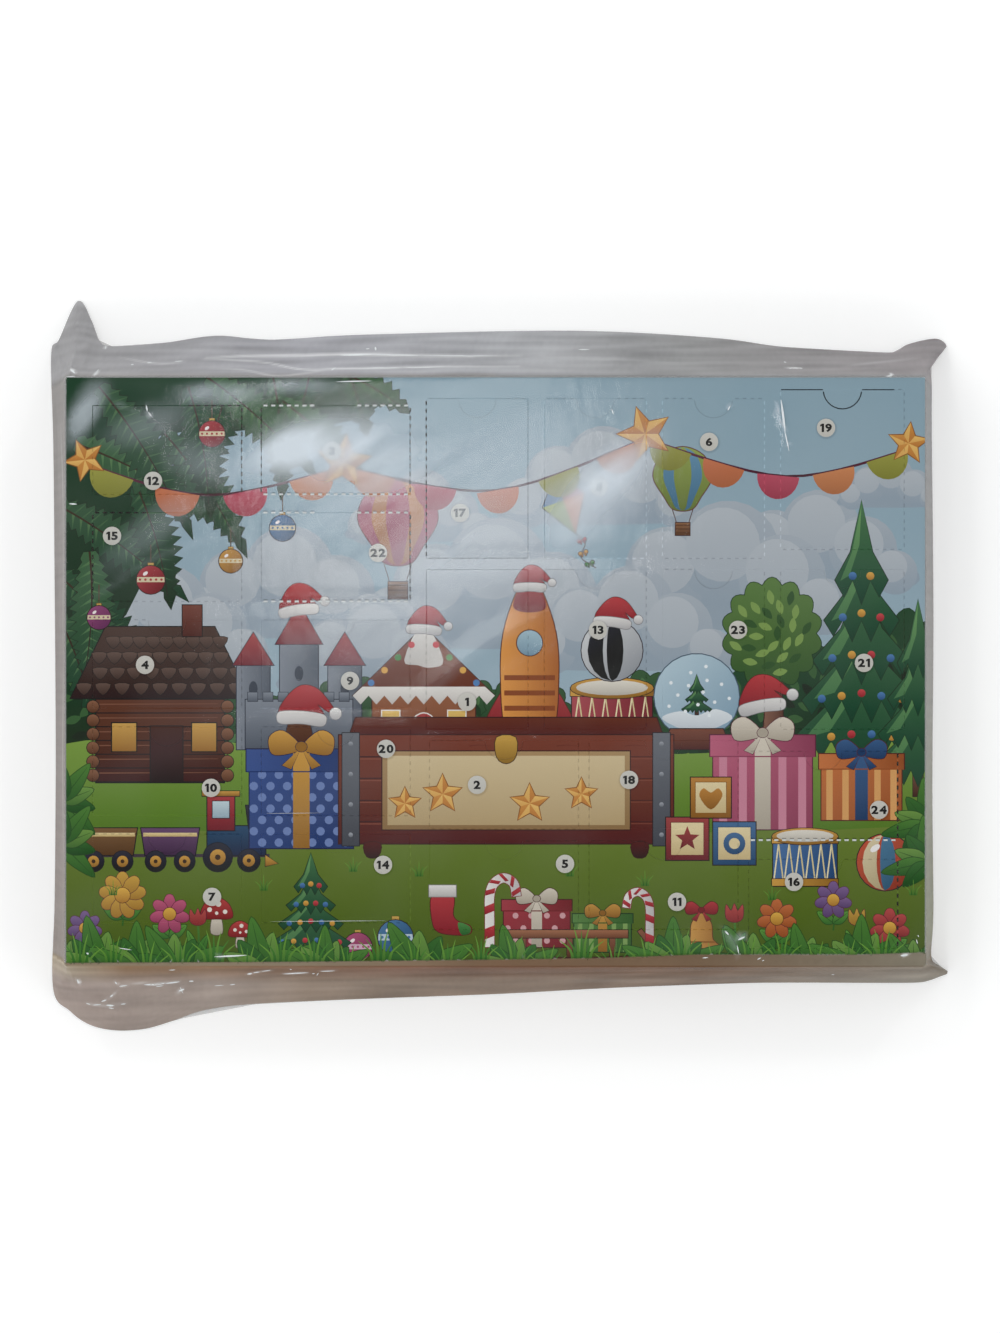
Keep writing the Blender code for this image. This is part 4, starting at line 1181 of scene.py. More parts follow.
def print_front(cuts):
    """Cuts the shapes and the doors' outlines into triangles, and colours them in the painter's order."""
    doors = {f"door_{n:02d}": top_loops(f"door_{n:02d}") for n in NUMBERS}
    panel = top_loops("front_panel")
    outer = [max(panel, key=np.ptp)]
    clear = [grown(loop, PLAY) for loops in doors.values() for loop in loops]
    loops = [loop for s in shapes for loop in s.loops] + [loop for found in doors.values() for loop in found]
    spots, faces = triangulate(loops + outer + clear + cuts)
    corners = spots[faces]
    middles = corners.mean(1)
    order = np.argsort(middles[:, 0])
    sorted_x = middles[order, 0]

    def covered(loops):
        """The triangles whose middles the loops wind round."""
        edges = np.vstack(loops)
        (x0, y0), (x1, y1) = edges.min(0), edges.max(0)
        near = order[np.searchsorted(sorted_x, x0) : np.searchsorted(sorted_x, x1)]
        near = near[(middles[near, 1] >= y0) & (middles[near, 1] <= y1)]
        return near[inside(loops, middles[near])]

    # The print's colours, with the painted shade and highlights at the doors' slits among its shapes
    colours = np.ones((len(faces), 3, 3))
    for s in shapes:
        near = covered(s.loops)
        share = (corners[near] @ s.along - s.start) / max(s.end - s.start, 1e-9)
        paint = s.low + (s.high - s.low) * np.clip(share, 0, 1)[..., None]
        colours[near] = colours[near] * paint if s.tint else paint
    plain = colours.mean(2, keepdims=True)
    colours = (1 - PRINT_GREY) * colours + PRINT_GREY * plain
    colours = np.clip(PRINT_CONTRAST * colours - PRINT_DARKER, PRINT_BLACK, 1)
    open_places = np.zeros(len(faces), bool)
    for loop in clear + cuts:
        open_places[covered([loop])] = True
    for node, found in doors.items():
        chosen = covered(found)
        make_board(node, spots, faces[chosen], colours[chosen])
    chosen = inside(outer, middles) & ~open_places
    make_board("front_panel", spots, faces[chosen], colours[chosen])


def make_board(node, spots, faces, colours):
    """A closed sheet of board: printed in front, bare behind and at its edges."""
    low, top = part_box(node)
    used, places = np.unique(faces, return_inverse=True)
    faces = places.reshape(faces.shape)
    flat = spots[used] * MM + (FRONT_LOW.x, FRONT_LOW.y)
    corners = flat[faces]
    one, two = corners[:, 1] - corners[:, 0], corners[:, 2] - corners[:, 0]
    turned = one[:, 0] * two[:, 1] - one[:, 1] * two[:, 0] < 0
    faces[turned] = faces[turned][:, ::-1]
    colours[turned] = colours[turned][:, ::-1]
    loops = rim_loops(faces.tolist())
    back_spots, back_faces = triangulate([flat[loop] / MM for loop in loops])
    middles = back_spots[back_faces].mean(1)
    back_faces = back_faces[inside([flat[loop] / MM for loop in loops], middles)]
    rim = [n for loop in loops for n in loop]
    below = {n: len(flat) + k for k, n in enumerate(rim)}
    verts = [(x, y, top[2]) for x, y in flat] + [(*flat[n], low[2]) for n in rim]
    walls = [(a, below[a], below[b], b) for loop in loops for a, b in zip(loop, loop[1:] + loop[:1])]
    names = nearest(flat[rim] / MM, back_spots) + len(flat)
    back = []
    for face in back_faces:
        corner = names[face].tolist()
        if len(set(corner)) < 3:
            continue
        a, b, c = (back_spots[n] for n in face)
        left = (b[0] - a[0]) * (c[1] - a[1]) - (b[1] - a[1]) * (c[0] - a[0]) > 0
        back.append(corner[::-1] if left else corner)
    mesh = bpy.data.meshes.new(f"{node}_board")
    mesh.from_pydata(verts, [], faces.tolist() + walls + back)
    # This attribute holds the print and the painted shade and highlights at the doors' slits
    layer = mesh.color_attributes.new("print", "FLOAT_COLOR", "CORNER")
    values = np.ones((len(mesh.loops), 4))
    values[: len(faces) * 3, :3] = colours.reshape(-1, 3)
    layer.data.foreach_set("color", values.ravel())
    mesh.materials.append(LOOKS["print"])
    mesh.materials.append(LOOKS["bare"])
    mesh.polygons.foreach_set("material_index", [0] * len(faces) + [1] * (len(walls) + len(back)))
    piece = new_piece(f"{node}_board", mesh)
    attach(piece, node if node.startswith("door") else "calendar")
    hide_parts(node)


# The film bag

# The bag's reach above and below, its reach at the sides, and its play round the carton
FILM_FIN, FILM_SIDE, FILM_EASE = 22.0, 12.0, 0.4
# The skirt's slope: shares of the way out, and of the height left there
FILM_SLOPE_SHARES = ((0, 1), (0.28, 0.62), (0.72, 0.22), (1, 0))
# The bag's sealed edge, clockwise from the upper left. A fin's points are shares of the front's width or height and
# of the fin's own reach. An ear's are shares of the side's and the fin's reach, outwards from the front's corner.
UPPER_LEFT_EAR_SHARES = ((1.13, 0.67), (0.84, 0.97), (0.14, 1.75), (-0.37, 1.34), (-0.63, 0.96), (-1.11, 0.84))
TOP_FIN_SHARES = (
    (0.1, 0.91), (0.163, 1.05), (0.229, 0.97), (0.341, 1.07), (0.59, 1.15), (0.761, 1.01), (0.846, 0.83),
    (0.95, 0.73),
)
UPPER_RIGHT_EAR_SHARES = (
    (-0.6, 0.72), (-0.05, 0.88), (0.95, 0.99), (1.36, 0.86), (1.18, 0.75), (0.86, 0.68), (0.76, 0.56),
    (0.78, 0.3), (0.82, 0.0),
)
RIGHT_SIDE_SHARES = ((0.92, 0.82), (0.6, 0.88), (0.3, 0.84), (0.08, 0.88))
LOWER_RIGHT_EAR_SHARES = ((0.8, 0.02), (1.08, 0.2), (1.42, 0.35), (1.08, 0.44), (0.7, 0.515), (0.2, 0.555))
BOTTOM_FIN_SHARES = (
    (0.95, 0.56), (0.812, 0.56), (0.641, 0.66), (0.505, 0.78), (0.341, 0.88), (0.21, 0.98), (0.15, 1.1),
    (0.11, 1.32),
)
LOWER_LEFT_EAR_SHARES = ((-2.32, 1.48), (-1.22, 1.51), (-0.3, 1.4), (0.44, 1.12), (1.06, 0.66))
LEFT_SIDE_SHARES = ((0.1, 1.0), (0.35, 0.96), (0.65, 1.0), (0.9, 1.05))
SEAM_Z, FLAT_Z = 0.5, FACE_Z / MM + 0.4
# The film lies down on each door's crease, so that the door carries its piece of it clear of the rest
CREASE_FLAT, CREASE_EASE = 0.5, 2.2
GRID_STEP, SEAM_STEP, SKIRT_ROWS = 2.3, 1.3, 26


def seam_points():
    """The bag's sealed edge in front millimetres, clockwise from the upper left corner."""
    wide, high = FRONT_WIDE, FRONT_HIGH

    def ear(shares, x, across, y, up):
        return [(x + across * a * FILM_SIDE, y + up * b * FILM_FIN) for a, b in shares]

    return np.array([
        *ear(UPPER_LEFT_EAR_SHARES, 0, -1, high, 1),
        *[(a * wide, high + b * FILM_FIN) for a, b in TOP_FIN_SHARES],
        *ear(UPPER_RIGHT_EAR_SHARES, wide, 1, high, 1),
        *[(wide + b * FILM_SIDE, a * high) for a, b in RIGHT_SIDE_SHARES],
        *ear(LOWER_RIGHT_EAR_SHARES, wide, 1, 0, -1),
        *[(a * wide, -b * FILM_FIN) for a, b in BOTTOM_FIN_SHARES],
        *ear(LOWER_LEFT_EAR_SHARES, 0, -1, 0, -1),
        *[(-b * FILM_SIDE, a * high) for a, b in LEFT_SIDE_SHARES],
    ])


def even_line(points, step):
    """A closed outline walked at even steps, softened at its corners."""
    line = curve(points, 8)
    closed = np.vstack([line, line[:1]])
    lengths = np.r_[0, np.cumsum(np.linalg.norm(np.diff(closed, axis=0), axis=1))]
    at = np.arange(0, lengths[-1] - step / 2, step)
    return np.column_stack([np.interp(at, lengths, closed[:, k]) for k in (0, 1)])


def carton_edge(spots, radius=2.0):
    """The nearest points on the carton's outline, rounded at its corners."""
    low = np.array([-FILM_EASE, -FILM_EASE]) + radius
    top = np.array([FRONT_WIDE + FILM_EASE, FRONT_HIGH + FILM_EASE]) - radius
    core = np.clip(spots, low, top)
    away = spots - core
    return core + away / np.maximum(np.linalg.norm(away, axis=1, keepdims=True), 1e-9) * radius


# Layers of noise: strength, grain in millimetres, stretch along its turn, that turn in degrees, and seed
FLAT_SWELL = ((0.16, 60, 1.6, 25, 1), (0.07, 17, 4, 32, 2), (0.02, 7, 5, -20, 3))
FIN_WRINKLES = ((0.9, 3.2, 14, 0, 5), (0.4, 1.7, 16, 3, 6))
SIDE_WRINKLES = ((0.3, 3.5, 12, 90, 7),)
EAR_CRUMPLE = ((1, 4.5, 1.2, 30, 8),)
HAZE_CLOUDS = ((0.012, 26, 2.5, 28, 11),)
HAZE_AND_GLARE_STREAKS = ((0.18, 5, 7, 38, 18), (0.22, 13, 3, 42, 19))
MILK_STREAKS = ((0.04, 2.2, 14, 0, 13), (0.03, 7, 2, 40, 14))
TONE_STREAKS = ((0.16, 2.4, 16, 1, 15), (0.1, 11, 2, 20, 16), (0.03, 1.1, 3, 88, 17))


def layered(x, y, layers, start=0.0):
    return sum((strength * rough(x, y, *grain) for strength, *grain in layers), start)


def rough(x, y, size, stretch, turn, seed):
    """Noise between -1 and 1 on a grain of size millimetres, stretched along turn."""
    c, s = math.cos(math.radians(turn)), math.sin(math.radians(turn))
    along, across = (x * c + y * s) / (size * stretch), (-x * s + y * c) / size
    return np.array([noise.noise(Vector((a, b, seed))) for a, b in zip(along, across)]) * 1.6


# Creases: the path in the photograph's pixels, width and height in millimetres, and how pale its painted highlight is
CREASES = [
    (((86, 385), (116, 403), (143, 411)), 2.2, 0.5, 0.14),
    (((146, 405), (150, 414), (158, 424), (168, 432)), 1.0, 0.5, 0.5),
    (((776, 398), (780, 418), (786, 440), (788, 452)), 1.1, 0.6, 0.6), (((728, 404), (726, 411)), 0.9, 0.4, 0.5),
    (((611, 408), (613, 416)), 0.9, 0.4, 0.5), (((214, 956), (230, 955), (248, 954)), 1.0, 0.4, 0.25),
    (((722, 925), (730, 938), (738, 954)), 2.2, 0.6, 0.2), (((734, 941), (740, 935), (748, 933)), 1.4, 0.4, 0.5),
    (((100, 560), (150, 520), (210, 498)), 5, 0.5, 0.12), (((90, 600), (150, 560), (230, 530)), 4, 0.4, 0.08),
    (((300, 520), (360, 470), (430, 440)), 6, 0.6, 0.12), (((330, 560), (400, 500), (500, 450)), 7, 0.6, 0.1),
    (((420, 700), (470, 655), (530, 620)), 6, 0.5, 0.08), (((120, 985), (155, 988), (175, 985)), 1.2, 0.5, 0.25),
    (((243, 977), (258, 973), (272, 971)), 1.1, 0.4, 0.2), (((280, 976), (295, 975), (307, 975)), 1.2, 0.4, 0.25),
    (((318, 972), (336, 971)), 0.9, 0.3, 0.2), (((76, 1011), (95, 1013), (118, 1012)), 1.2, 0.5, 0.25),
    (((95, 1008), (106, 1000), (110, 996)), 1.0, 0.4, 0.2), (((170, 1000), (176, 993)), 1.8, 0.4, 0.25),
    (((200, 351), (240, 348), (300, 347), (345, 346), (420, 348), (520, 349)), 1.5, 0.5, 0.5),
    (((196, 352), (260, 356), (300, 366), (345, 365), (420, 363), (520, 362)), 1.0, 0.5, 0.45),
    (((205, 364), (240, 366), (275, 375), (300, 372), (330, 366)), 1.1, 0.5, 0.25),
    (((110, 348), (150, 357), (180, 355)), 1.1, 0.4, 0.2),
    (((420, 357), (470, 358), (500, 360), (560, 357)), 1.2, -0.5, 0),
    (((540, 350), (620, 353), (680, 357)), 2, 0.4, 0.1), (((68, 367), (75, 371)), 0.9, 0.3, 0.8),
    (((93, 366), (94, 375)), 1.0, 0.3, 0.7), (((91, 334), (92, 337)), 0.9, 0.3, 0.6),
    (((886, 376), (892, 374), (893, 370)), 0.9, 0.3, 0.9), (((790, 362), (806, 363)), 0.8, 0.3, 0.6),
    (((902, 954), (909, 953)), 1.2, 0.3, 0.7), (((86, 952), (90, 953)), 1.0, 0.3, 0.7),
    (((72, 981), (75, 988)), 1.2, 0.3, 0.6), (((110, 984), (116, 990), (124, 991)), 1.1, 0.3, 0.2),
    (((850, 360), (900, 352), (930, 350)), 1.6, 0.4, 0.12), (((52, 420), (58, 520), (56, 640)), 1.3, 0.4, 0.12),
    (((60, 620), (55, 760), (60, 900)), 1.3, 0.4, 0.1),
]
# Pale places on the film, of its haze and of glare painted into it: pixel, reach in millimetres, turn in degrees,
# strength
HAZE_AND_GLARE = [
    ((84, 412), (5.5, 15), -28, 0.36), ((222, 393), (16, 4.5), 0, 0.34), ((300, 384), (16, 4), 0, 0.26),
    ((150, 424), (20, 8), 15, 0.12), ((214, 462), (20, 9), -12, 0.13), ((326, 446), (30, 13), 12, 0.5),
    ((300, 444), (14, 8), 20, 0.2), ((375, 462), (28, 13), 20, 0.2), ((270, 452), (16, 6), 30, 0.2),
    ((350, 500), (44, 12), 25, 0.14), ((466, 520), (44, 32), 25, 0.18), ((618, 466), (22, 8.5), 38, 0.42),
    ((590, 510), (26, 15), 50, 0.26), ((150, 530), (24, 7), 38, 0.12), ((420, 600), (60, 26), 30, 0.1),
    ((540, 430), (50, 12), 20, 0.1),
]


def crease_field(x, y):
    """How high the creases stand, and how pale their painted highlights are, at each place."""
    height, glow = np.zeros(len(x)), np.zeros(len(x))
    spots = np.column_stack([x, y])
    for path, width, rise, pale in CREASES:
        line = np.array([front(*p) for p in path])
        if len(path) > 2:
            line = curve(line, 6, closed=False)
        best = np.full(len(x), 1e9)
        share = np.zeros(len(x))
        for n, (a, b) in enumerate(zip(line, line[1:])):
            t = np.clip(((spots - a) @ (b - a)) / max((b - a) @ (b - a), 1e-9), 0, 1)
            away = np.linalg.norm(spots - a - t[:, None] * (b - a), axis=1)
            near = away < best
            best[near] = away[near]
            share[near] = (n + t[near]) / (len(line) - 1)
        fade = np.sin(np.pi * np.clip(share, 0.04, 0.96)) ** 0.6
        height += rise * np.exp(-((best / width) ** 2)) * fade
        # glow: the painted highlight along the crease
        glow = np.maximum(glow, 0.8 * pale * np.exp(-((best / (0.45 * width)) ** 2)) * fade)
    return height, glow


def haze_field(x, y):
    """How hazy the film is at each place, with glare painted into that haze."""
    haze_and_glare = np.zeros(len(x))
    for pixel, (rx, ry), turn, strength in HAZE_AND_GLARE:
        cx, cy = front(*pixel)
        c, s = math.cos(math.radians(turn)), math.sin(math.radians(turn))
        along, across = ((x - cx) * c + (y - cy) * s) / rx, (-(x - cx) * s + (y - cy) * c) / ry
        haze_and_glare += strength * np.exp(-(along**2 + across**2) ** 1.5)
    return haze_and_glare


def door_gap(x, y):
    """Distance in millimetres from the nearest door's crease."""
    best = np.full(len(x), 1e9)
    for number in NUMBERS:
        x0, y0, x1, _ = door_edges(number)
        across = np.maximum(np.maximum(x0 - x, x - x1), 0)
        best = np.minimum(best, np.hypot(across, y - y0))
    return best


def flat_film(x, y):
    """Heights of the film over the doors."""
    swell = layered(x, y, FLAT_SWELL, 0.14)
    ridges, _ = crease_field(x, y)
    gap = door_gap(x, y)
    calm, dip = np.clip(gap / 7, 0, 1), np.clip((gap - CREASE_FLAT) / CREASE_EASE, 0, 1)
    low = FACE_Z / MM + 0.07
    lifted = low + (FLAT_Z - low) * dip * dip * (3 - 2 * dip)
    return lifted + (np.maximum(swell, 0) + 0.7 * ridges) * calm * calm * (3 - 2 * calm)


def film_grid():
    """The flat stretch's points, each door's patch of film, and the hole round each patch."""
    xs, ys = np.arange(GRID_STEP / 2, FRONT_WIDE, GRID_STEP), np.arange(GRID_STEP / 2, FRONT_HIGH, GRID_STEP)
    grid = [(x, y) for x in xs for y in ys]
    grid = np.array([(x + 0.5 * math.sin(37 * x + 91 * y), y + 0.5 * math.sin(53 * x + 17 * y)) for x, y in grid])
    grid = [tuple(p) for p in grid[door_gap(*grid.T) > CREASE_EASE + 1]]
    patches, holes = {}, []
    for number in NUMBERS:
        x0, y0, x1, y1 = door_edges(number)
        patches[number] = fine_box(x0 + 0.05, y0 + 0.2, x1 - 0.05, y1 - 0.05)
        holes.append(fine_box(x0 - 0.2, y0 - 0.3, x1 + 0.2, y1 + 0.2))
        for away in (0.9, 1.5, 2.3):
            grid += [(x, y0 + side * away) for side in (-1, 1) for x in np.arange(x0 + 0.6, x1 - 0.4, 1.9)]
    return grid, patches, holes


def fine_box(x0, y0, x1, y1):
    """A box's outline in even steps."""
    corners = np.array([(x0, y0), (x1, y0), (x1, y1), (x0, y1)])
    found = []
    for a, b in zip(corners, np.roll(corners, -1, 0)):
        count = max(1, round(np.linalg.norm(b - a) / GRID_STEP))
        found += [a + (b - a) * n / count for n in range(count)]
    return np.array(found)


def film_skirt(seam):
    """Rings of points from the carton's edge, down its sides, to the bag's sealed edge."""
    edge = carton_edge(seam)
    reach = np.linalg.norm(seam - edge, axis=1)
    outs, ups = zip(*FILM_SLOPE_SHARES)
    rings = []
    for k in range(SKIRT_ROWS + 1):
        share = (k / SKIRT_ROWS) ** 1.1
        flat = edge + (seam - edge) * share
        z = SEAM_Z + (FLAT_Z - SEAM_Z) * np.interp(share, outs, ups)
        x, y = flat[:, 0], flat[:, 1]
        swing = min(1, 4 * share, 5 * (1 - share) + 0.06)
        tall = abs(seam[:, 1] - edge[:, 1]) > abs(seam[:, 0] - edge[:, 0])
        folds = np.where(tall, layered(x, y, FIN_WRINKLES), layered(x, y, SIDE_WRINKLES))
        crumple = layered(x, y, EAR_CRUMPLE) * np.clip((reach - 18) / 10, 0.1, 1)
        ridges, _ = crease_field(x, y)
        wrinkles = 0.55 * folds + 0.9 * crumple + 0.8 * ridges
        z = z + swing * wrinkles * np.clip(reach / 12, 0.3, 1.1)
        rings.append(np.column_stack([flat, np.maximum(z, SEAM_Z - 0.05)]))
    return rings


# How far the lower fin's fold laps onto the front: millimetres along it, and how many it covers
FOLD_AT = (0, 100, 184, 227, 269, 337, 365)
FOLD_REACH = (1.3, 1.8, 2.7, 3.4, 4.9, 4.8, 5.8)
# The film's tone beyond the carton: millimetres along a side, and the colour there
LEFT_TONES = ((0, "8A7F78"), (120, "877F7B"), (250, "8C8885"))
RIGHT_TONES = ((0, "82826A"), (70, "88887A"), (140, "8F8C89"), (250, "848485"))
TOP_TONES = ((0, "9B9A9B"), (100, "9F9FA4"), (185, "A8A9AC"), (265, "919191"), (365, "8C8788"))
NEAR_TONES = ((0, "A0937F"), (25, "84694F"), (140, "6C4B3A"), (270, "604128"), (365, "716556"))
FOLD_TONES = ((0, "8A7B66"), (100, "867966"), (184, "785F4B"), (270, "735F4C"), (365, "80796A"))
# The milky colour inside the front, of its haze and its painted glare; and the colour of the creases' painted
# highlights
HAZE_AND_GLARE_TONE, CREASE_HIGHLIGHT_TONE = np.array([0.8, 0.88, 0.95]), 0.95
FAR_TONES = ((0, "A0928A"), (60, "9D9087"), (100, "8E7E70"), (270, "806F62"), (365, "8A8378"))


def tones(at, stops):
    """The colours between the stops' colours."""
    places, colours = [place for place, _ in stops], np.array([rgb(code) for _, code in stops])
    return np.column_stack([np.interp(at, places, colours[:, k]) for k in range(3)])


def film_paint(x, y, z):
    """The film's milky colour and amount at each place, with painted glare and painted crease highlights."""
    _, glow = crease_field(x, y)
    out_x = np.maximum(np.maximum(-x, x - FRONT_WIDE), 0)
    out_y = np.maximum(np.maximum(-y, y - FRONT_HIGH), 0)
    out = np.hypot(out_x, out_y)
    fold = np.interp(x, FOLD_AT, FOLD_REACH)
    beyond = np.maximum(np.clip((out - 0.2) / 0.8, 0, 1), np.clip((fold + 0.3 - y) / 0.6, 0, 1))
    # The front's haze, with glare painted into it
    streaks = np.clip(layered(x, y, HAZE_AND_GLARE_STREAKS, 1), 0.4, 1.7)
    haze_and_glare = layered(x, y, HAZE_CLOUDS, 0.003 + haze_field(x, y) * streaks)
    low = np.clip((fold + 0.3 - y) / 1.5, 0, 1)
    fin = layered(x, y, MILK_STREAKS, 0.9 + 0.07 * low)
    opacity = np.clip(haze_and_glare, 0, 1) * (1 - beyond) + fin * beyond
    side = (np.abs(y - FRONT_HIGH / 2) < FRONT_HIGH / 2).astype(float)
    # Painted light: the tone is lighter along the film's bend just below the front's lower edge
    painted_light_at_bend = np.exp(-(((y + 0.6) / 0.7) ** 2))
    tone = 1 + layered(x, y, TONE_STREAKS) * (1 - 0.6 * side) + 0.22 * painted_light_at_bend
    far = np.clip(out_y / 9.5, 0, 1)[:, None] ** 1.5
    flank = np.where((x < FRONT_WIDE / 2)[:, None], tones(y, LEFT_TONES), tones(y, RIGHT_TONES))
    high = np.clip((y - FRONT_HIGH) / 3, 0, 1)[:, None]
    base = flank + (tones(x, TOP_TONES) - flank) * high
    front_low = np.clip((fold + 0.6 - y) / 0.6, 0, 1)[:, None]
    base = base + (tones(x, NEAR_TONES) * (1 - far) + tones(x, FAR_TONES) * far - base) * front_low
    base = np.where((y > -0.2)[:, None] & (front_low > 0), flank + (tones(x, FOLD_TONES) - flank) * front_low, base)
    colour = base * np.clip(tone, 0.6, 1.5)[:, None]
    depth = np.minimum(np.minimum(x, FRONT_WIDE - x), np.minimum(y - fold - 0.3, FRONT_HIGH - y))
    within = np.clip(depth, 0, 1)[:, None]
    colour = colour * (1 - within) + HAZE_AND_GLARE_TONE * within
    # The creases' glow is painted highlight: it whitens the film along them and makes it more opaque
    colour = colour + (CREASE_HIGHLIGHT_TONE - colour) * np.clip(glow * 1.3, 0, 1)[:, None]
    opacity = np.minimum(opacity, 0.72 + 0.25 * beyond)
    return np.column_stack([np.clip(colour, 0, 1), np.clip(np.maximum(opacity, glow), 0, 0.97)])


def make_film():
    """The bag's front sheet, with a patch of its own for each door, and the glints on it."""
    grid, patches, holes = film_grid()
    seam = even_line(seam_points(), SEAM_STEP)
    rings = film_skirt(seam)
    rim = rings[0][:, :2]
    keep = [k for k in range(len(rim)) if np.linalg.norm(rim[k] - rim[k - 1]) > 0.02]
    rim = rim[keep]
    rings = [ring[keep] for ring in rings]
    inner = [p for p in grid if 1 < p[0] < FRONT_WIDE - 1 and 1 < p[1] < FRONT_HIGH - 1]
    inner += [tuple(p) for p in np.clip(rim, 0.45, (FRONT_WIDE - 0.45, FRONT_HIGH - 0.45))]
    for at in np.arange(1.2, FRONT_WIDE - 1, 1.7):
        inner += [(at, np.interp(at, FOLD_AT, FOLD_REACH) + away) for away in (-0.3, 0.3)]
    spots, faces = triangulate([rim, *patches.values(), *holes], inner)
    faces = faces[inside([rim], spots[faces].mean(1))]
    middles = spots[faces].mean(1)
    x, y = spots.T
    verts = [np.column_stack([spots, flat_film(x, y)])]
    first = nearest(spots, rim)
    verts[0][first, 2] = FLAT_Z
    total = len(spots)
    rows = [first]
    for ring in rings[1:]:
        verts.append(ring)
        rows.append(np.arange(total, total + len(ring)))
        total += len(ring)
    verts = np.vstack(verts)
    flip = np.cross(*(spots[faces[:, k]] - spots[faces[:, 0]] for k in (1, 2))) < 0
    faces[flip] = faces[flip][:, ::-1]
    quads = []
    for upper, lower in zip(rows, rows[1:]):
        a, b = np.roll(upper, -1), np.roll(lower, -1)
        quads += [np.column_stack([upper, a, b]), np.column_stack([upper, b, lower])]
    skirt = np.vstack(quads)
    sides = [verts[skirt[:, k]] - verts[skirt[:, 0]] for k in (1, 2)]
    if np.cross(*sides)[:, 2].sum() < 0:
        skirt = skirt[:, ::-1]
    normals = vertex_normals(verts, np.vstack([faces, skirt]))
    # The dips at the doors' creases glint softly: their normals are nearly the flat film's
    dips = np.zeros(len(verts))
    dips[: len(spots)] = 0.85 * np.clip((CREASE_EASE + 3 - door_gap(x, y)) / 2, 0, 1)
    normals = normals * (1 - dips[:, None]) + np.outer(dips, (0, 0, 1))
    normals /= np.linalg.norm(normals, axis=1, keepdims=True)
    paint = film_paint(*verts.T)
    held = inside(holes, middles)
    add_film("film_sheet", "calendar", verts, np.vstack([faces[~held], skirt]), normals, paint)
    for number, patch in patches.items():
        chosen = faces[inside([patch], middles)]
        add_film(f"film_over_{number:02d}", f"door_{number:02d}", verts, chosen, normals, paint)
    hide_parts("film_front")
    make_glints(verts, np.vstack([faces, skirt]))


# Sharp glints on the film's finest wrinkles: two ends in photograph pixels and the width in millimetres
GLINTS = (
    (138, 989, 149, 988, 0.7), (146, 989, 160, 987, 0.9), (160, 987.5, 175, 985.5, 0.7), (150, 991, 158, 990, 0.4),
    (73, 981.5, 72.6, 987, 0.6), (110.5, 984.5, 111.5, 987.5, 0.7), (113, 990.5, 122, 989, 0.5),
    (172, 997, 178, 994.5, 0.8), (174, 992, 176, 1000, 0.4), (96, 1012.7, 105, 1012.9, 0.9),
    (98, 1015.8, 104, 1016.4, 0.5), (75, 1011, 80, 1012.5, 0.5), (82, 1013, 91, 1012, 0.5),
    (92, 1008.5, 98, 1006, 0.6), (102, 1003, 105.5, 1000, 0.5), (111, 1012, 116, 1011.6, 0.5),
    (184, 985.4, 189, 985, 0.7), (208, 991.6, 218, 991, 0.35), (224, 990.6, 230, 989.6, 0.5),
    (244.5, 976.5, 250, 975, 0.9), (251, 974.5, 258, 973, 0.5), (260, 972.4, 270, 970.5, 0.4),
    (280, 976.2, 307, 974, 0.6), (310, 976, 313, 975.6, 0.5), (314, 979, 317, 974.6, 0.35),
    (319, 972.6, 334, 971.6, 0.5), (289, 969, 291, 970, 0.5), (86.6, 952, 89, 953, 0.7),
    (168, 970, 175, 969.6, 0.4), (214, 955.8, 247, 954.2, 0.7), (119, 947, 132, 949, 0.35),
    (68, 366.5, 74, 372, 0.8), (93.4, 364.5, 93.8, 375, 0.6), (66, 376, 76, 375.6, 0.35),
    (146.4, 404.5, 147.6, 411, 0.7), (148, 411, 152, 416, 0.4), (69, 503, 77.5, 503.4, 0.6),
    (124, 358.5, 127, 358, 0.5), (140, 356, 145, 355.5, 0.5), (168, 354.8, 177, 354.4, 0.4),
    (371.5, 336.5, 372.6, 341.5, 0.7), (362, 339.5, 366, 339, 0.4), (580, 340.8, 592, 340.4, 0.5),
    (357, 364.6, 402, 363.6, 0.55), (399, 363.7, 445, 362.8, 0.4), (336, 347.6, 372, 346.6, 0.9),
    (366, 346.7, 420, 348, 0.55), (414, 348, 500, 348.8, 0.3), (330, 367.5, 334, 363.5, 0.7),
    (336, 381, 372, 380.2, 0.5), (886.5, 376, 891.6, 374.8, 0.7), (891.4, 375.4, 893.4, 370.6, 0.6),
    (798, 362.6, 803, 363, 0.5), (804, 362.4, 806.6, 363.6, 0.5), (790, 354.2, 792.4, 355.4, 0.5),
    (793, 364, 796, 363.2, 0.35), (780.8, 398.5, 785, 432, 0.95), (784, 428, 789, 451, 0.5),
    (727.5, 410, 730, 405, 0.5), (611.5, 408, 613.4, 414, 0.45), (900, 954.8, 908, 953.8, 0.9),
    (737.6, 939, 745, 935.6, 0.8), (736.8, 944, 738.6, 952.6, 0.5), (725, 930, 728.6, 934, 0.7),
    (702, 957, 708, 956.4, 0.45), (757, 958.6, 761, 956.6, 0.5), (762, 960, 764, 959, 0.4),
    (916, 938, 917.4, 943, 0.4), (917.6, 934, 918.4, 936, 0.4), (839, 980.6, 842, 980.8, 0.35),
    (91, 333, 92, 337.6, 0.5), (270, 920.6, 388, 919.8, 0.17), (266, 812.6, 322, 812, 0.13),
)


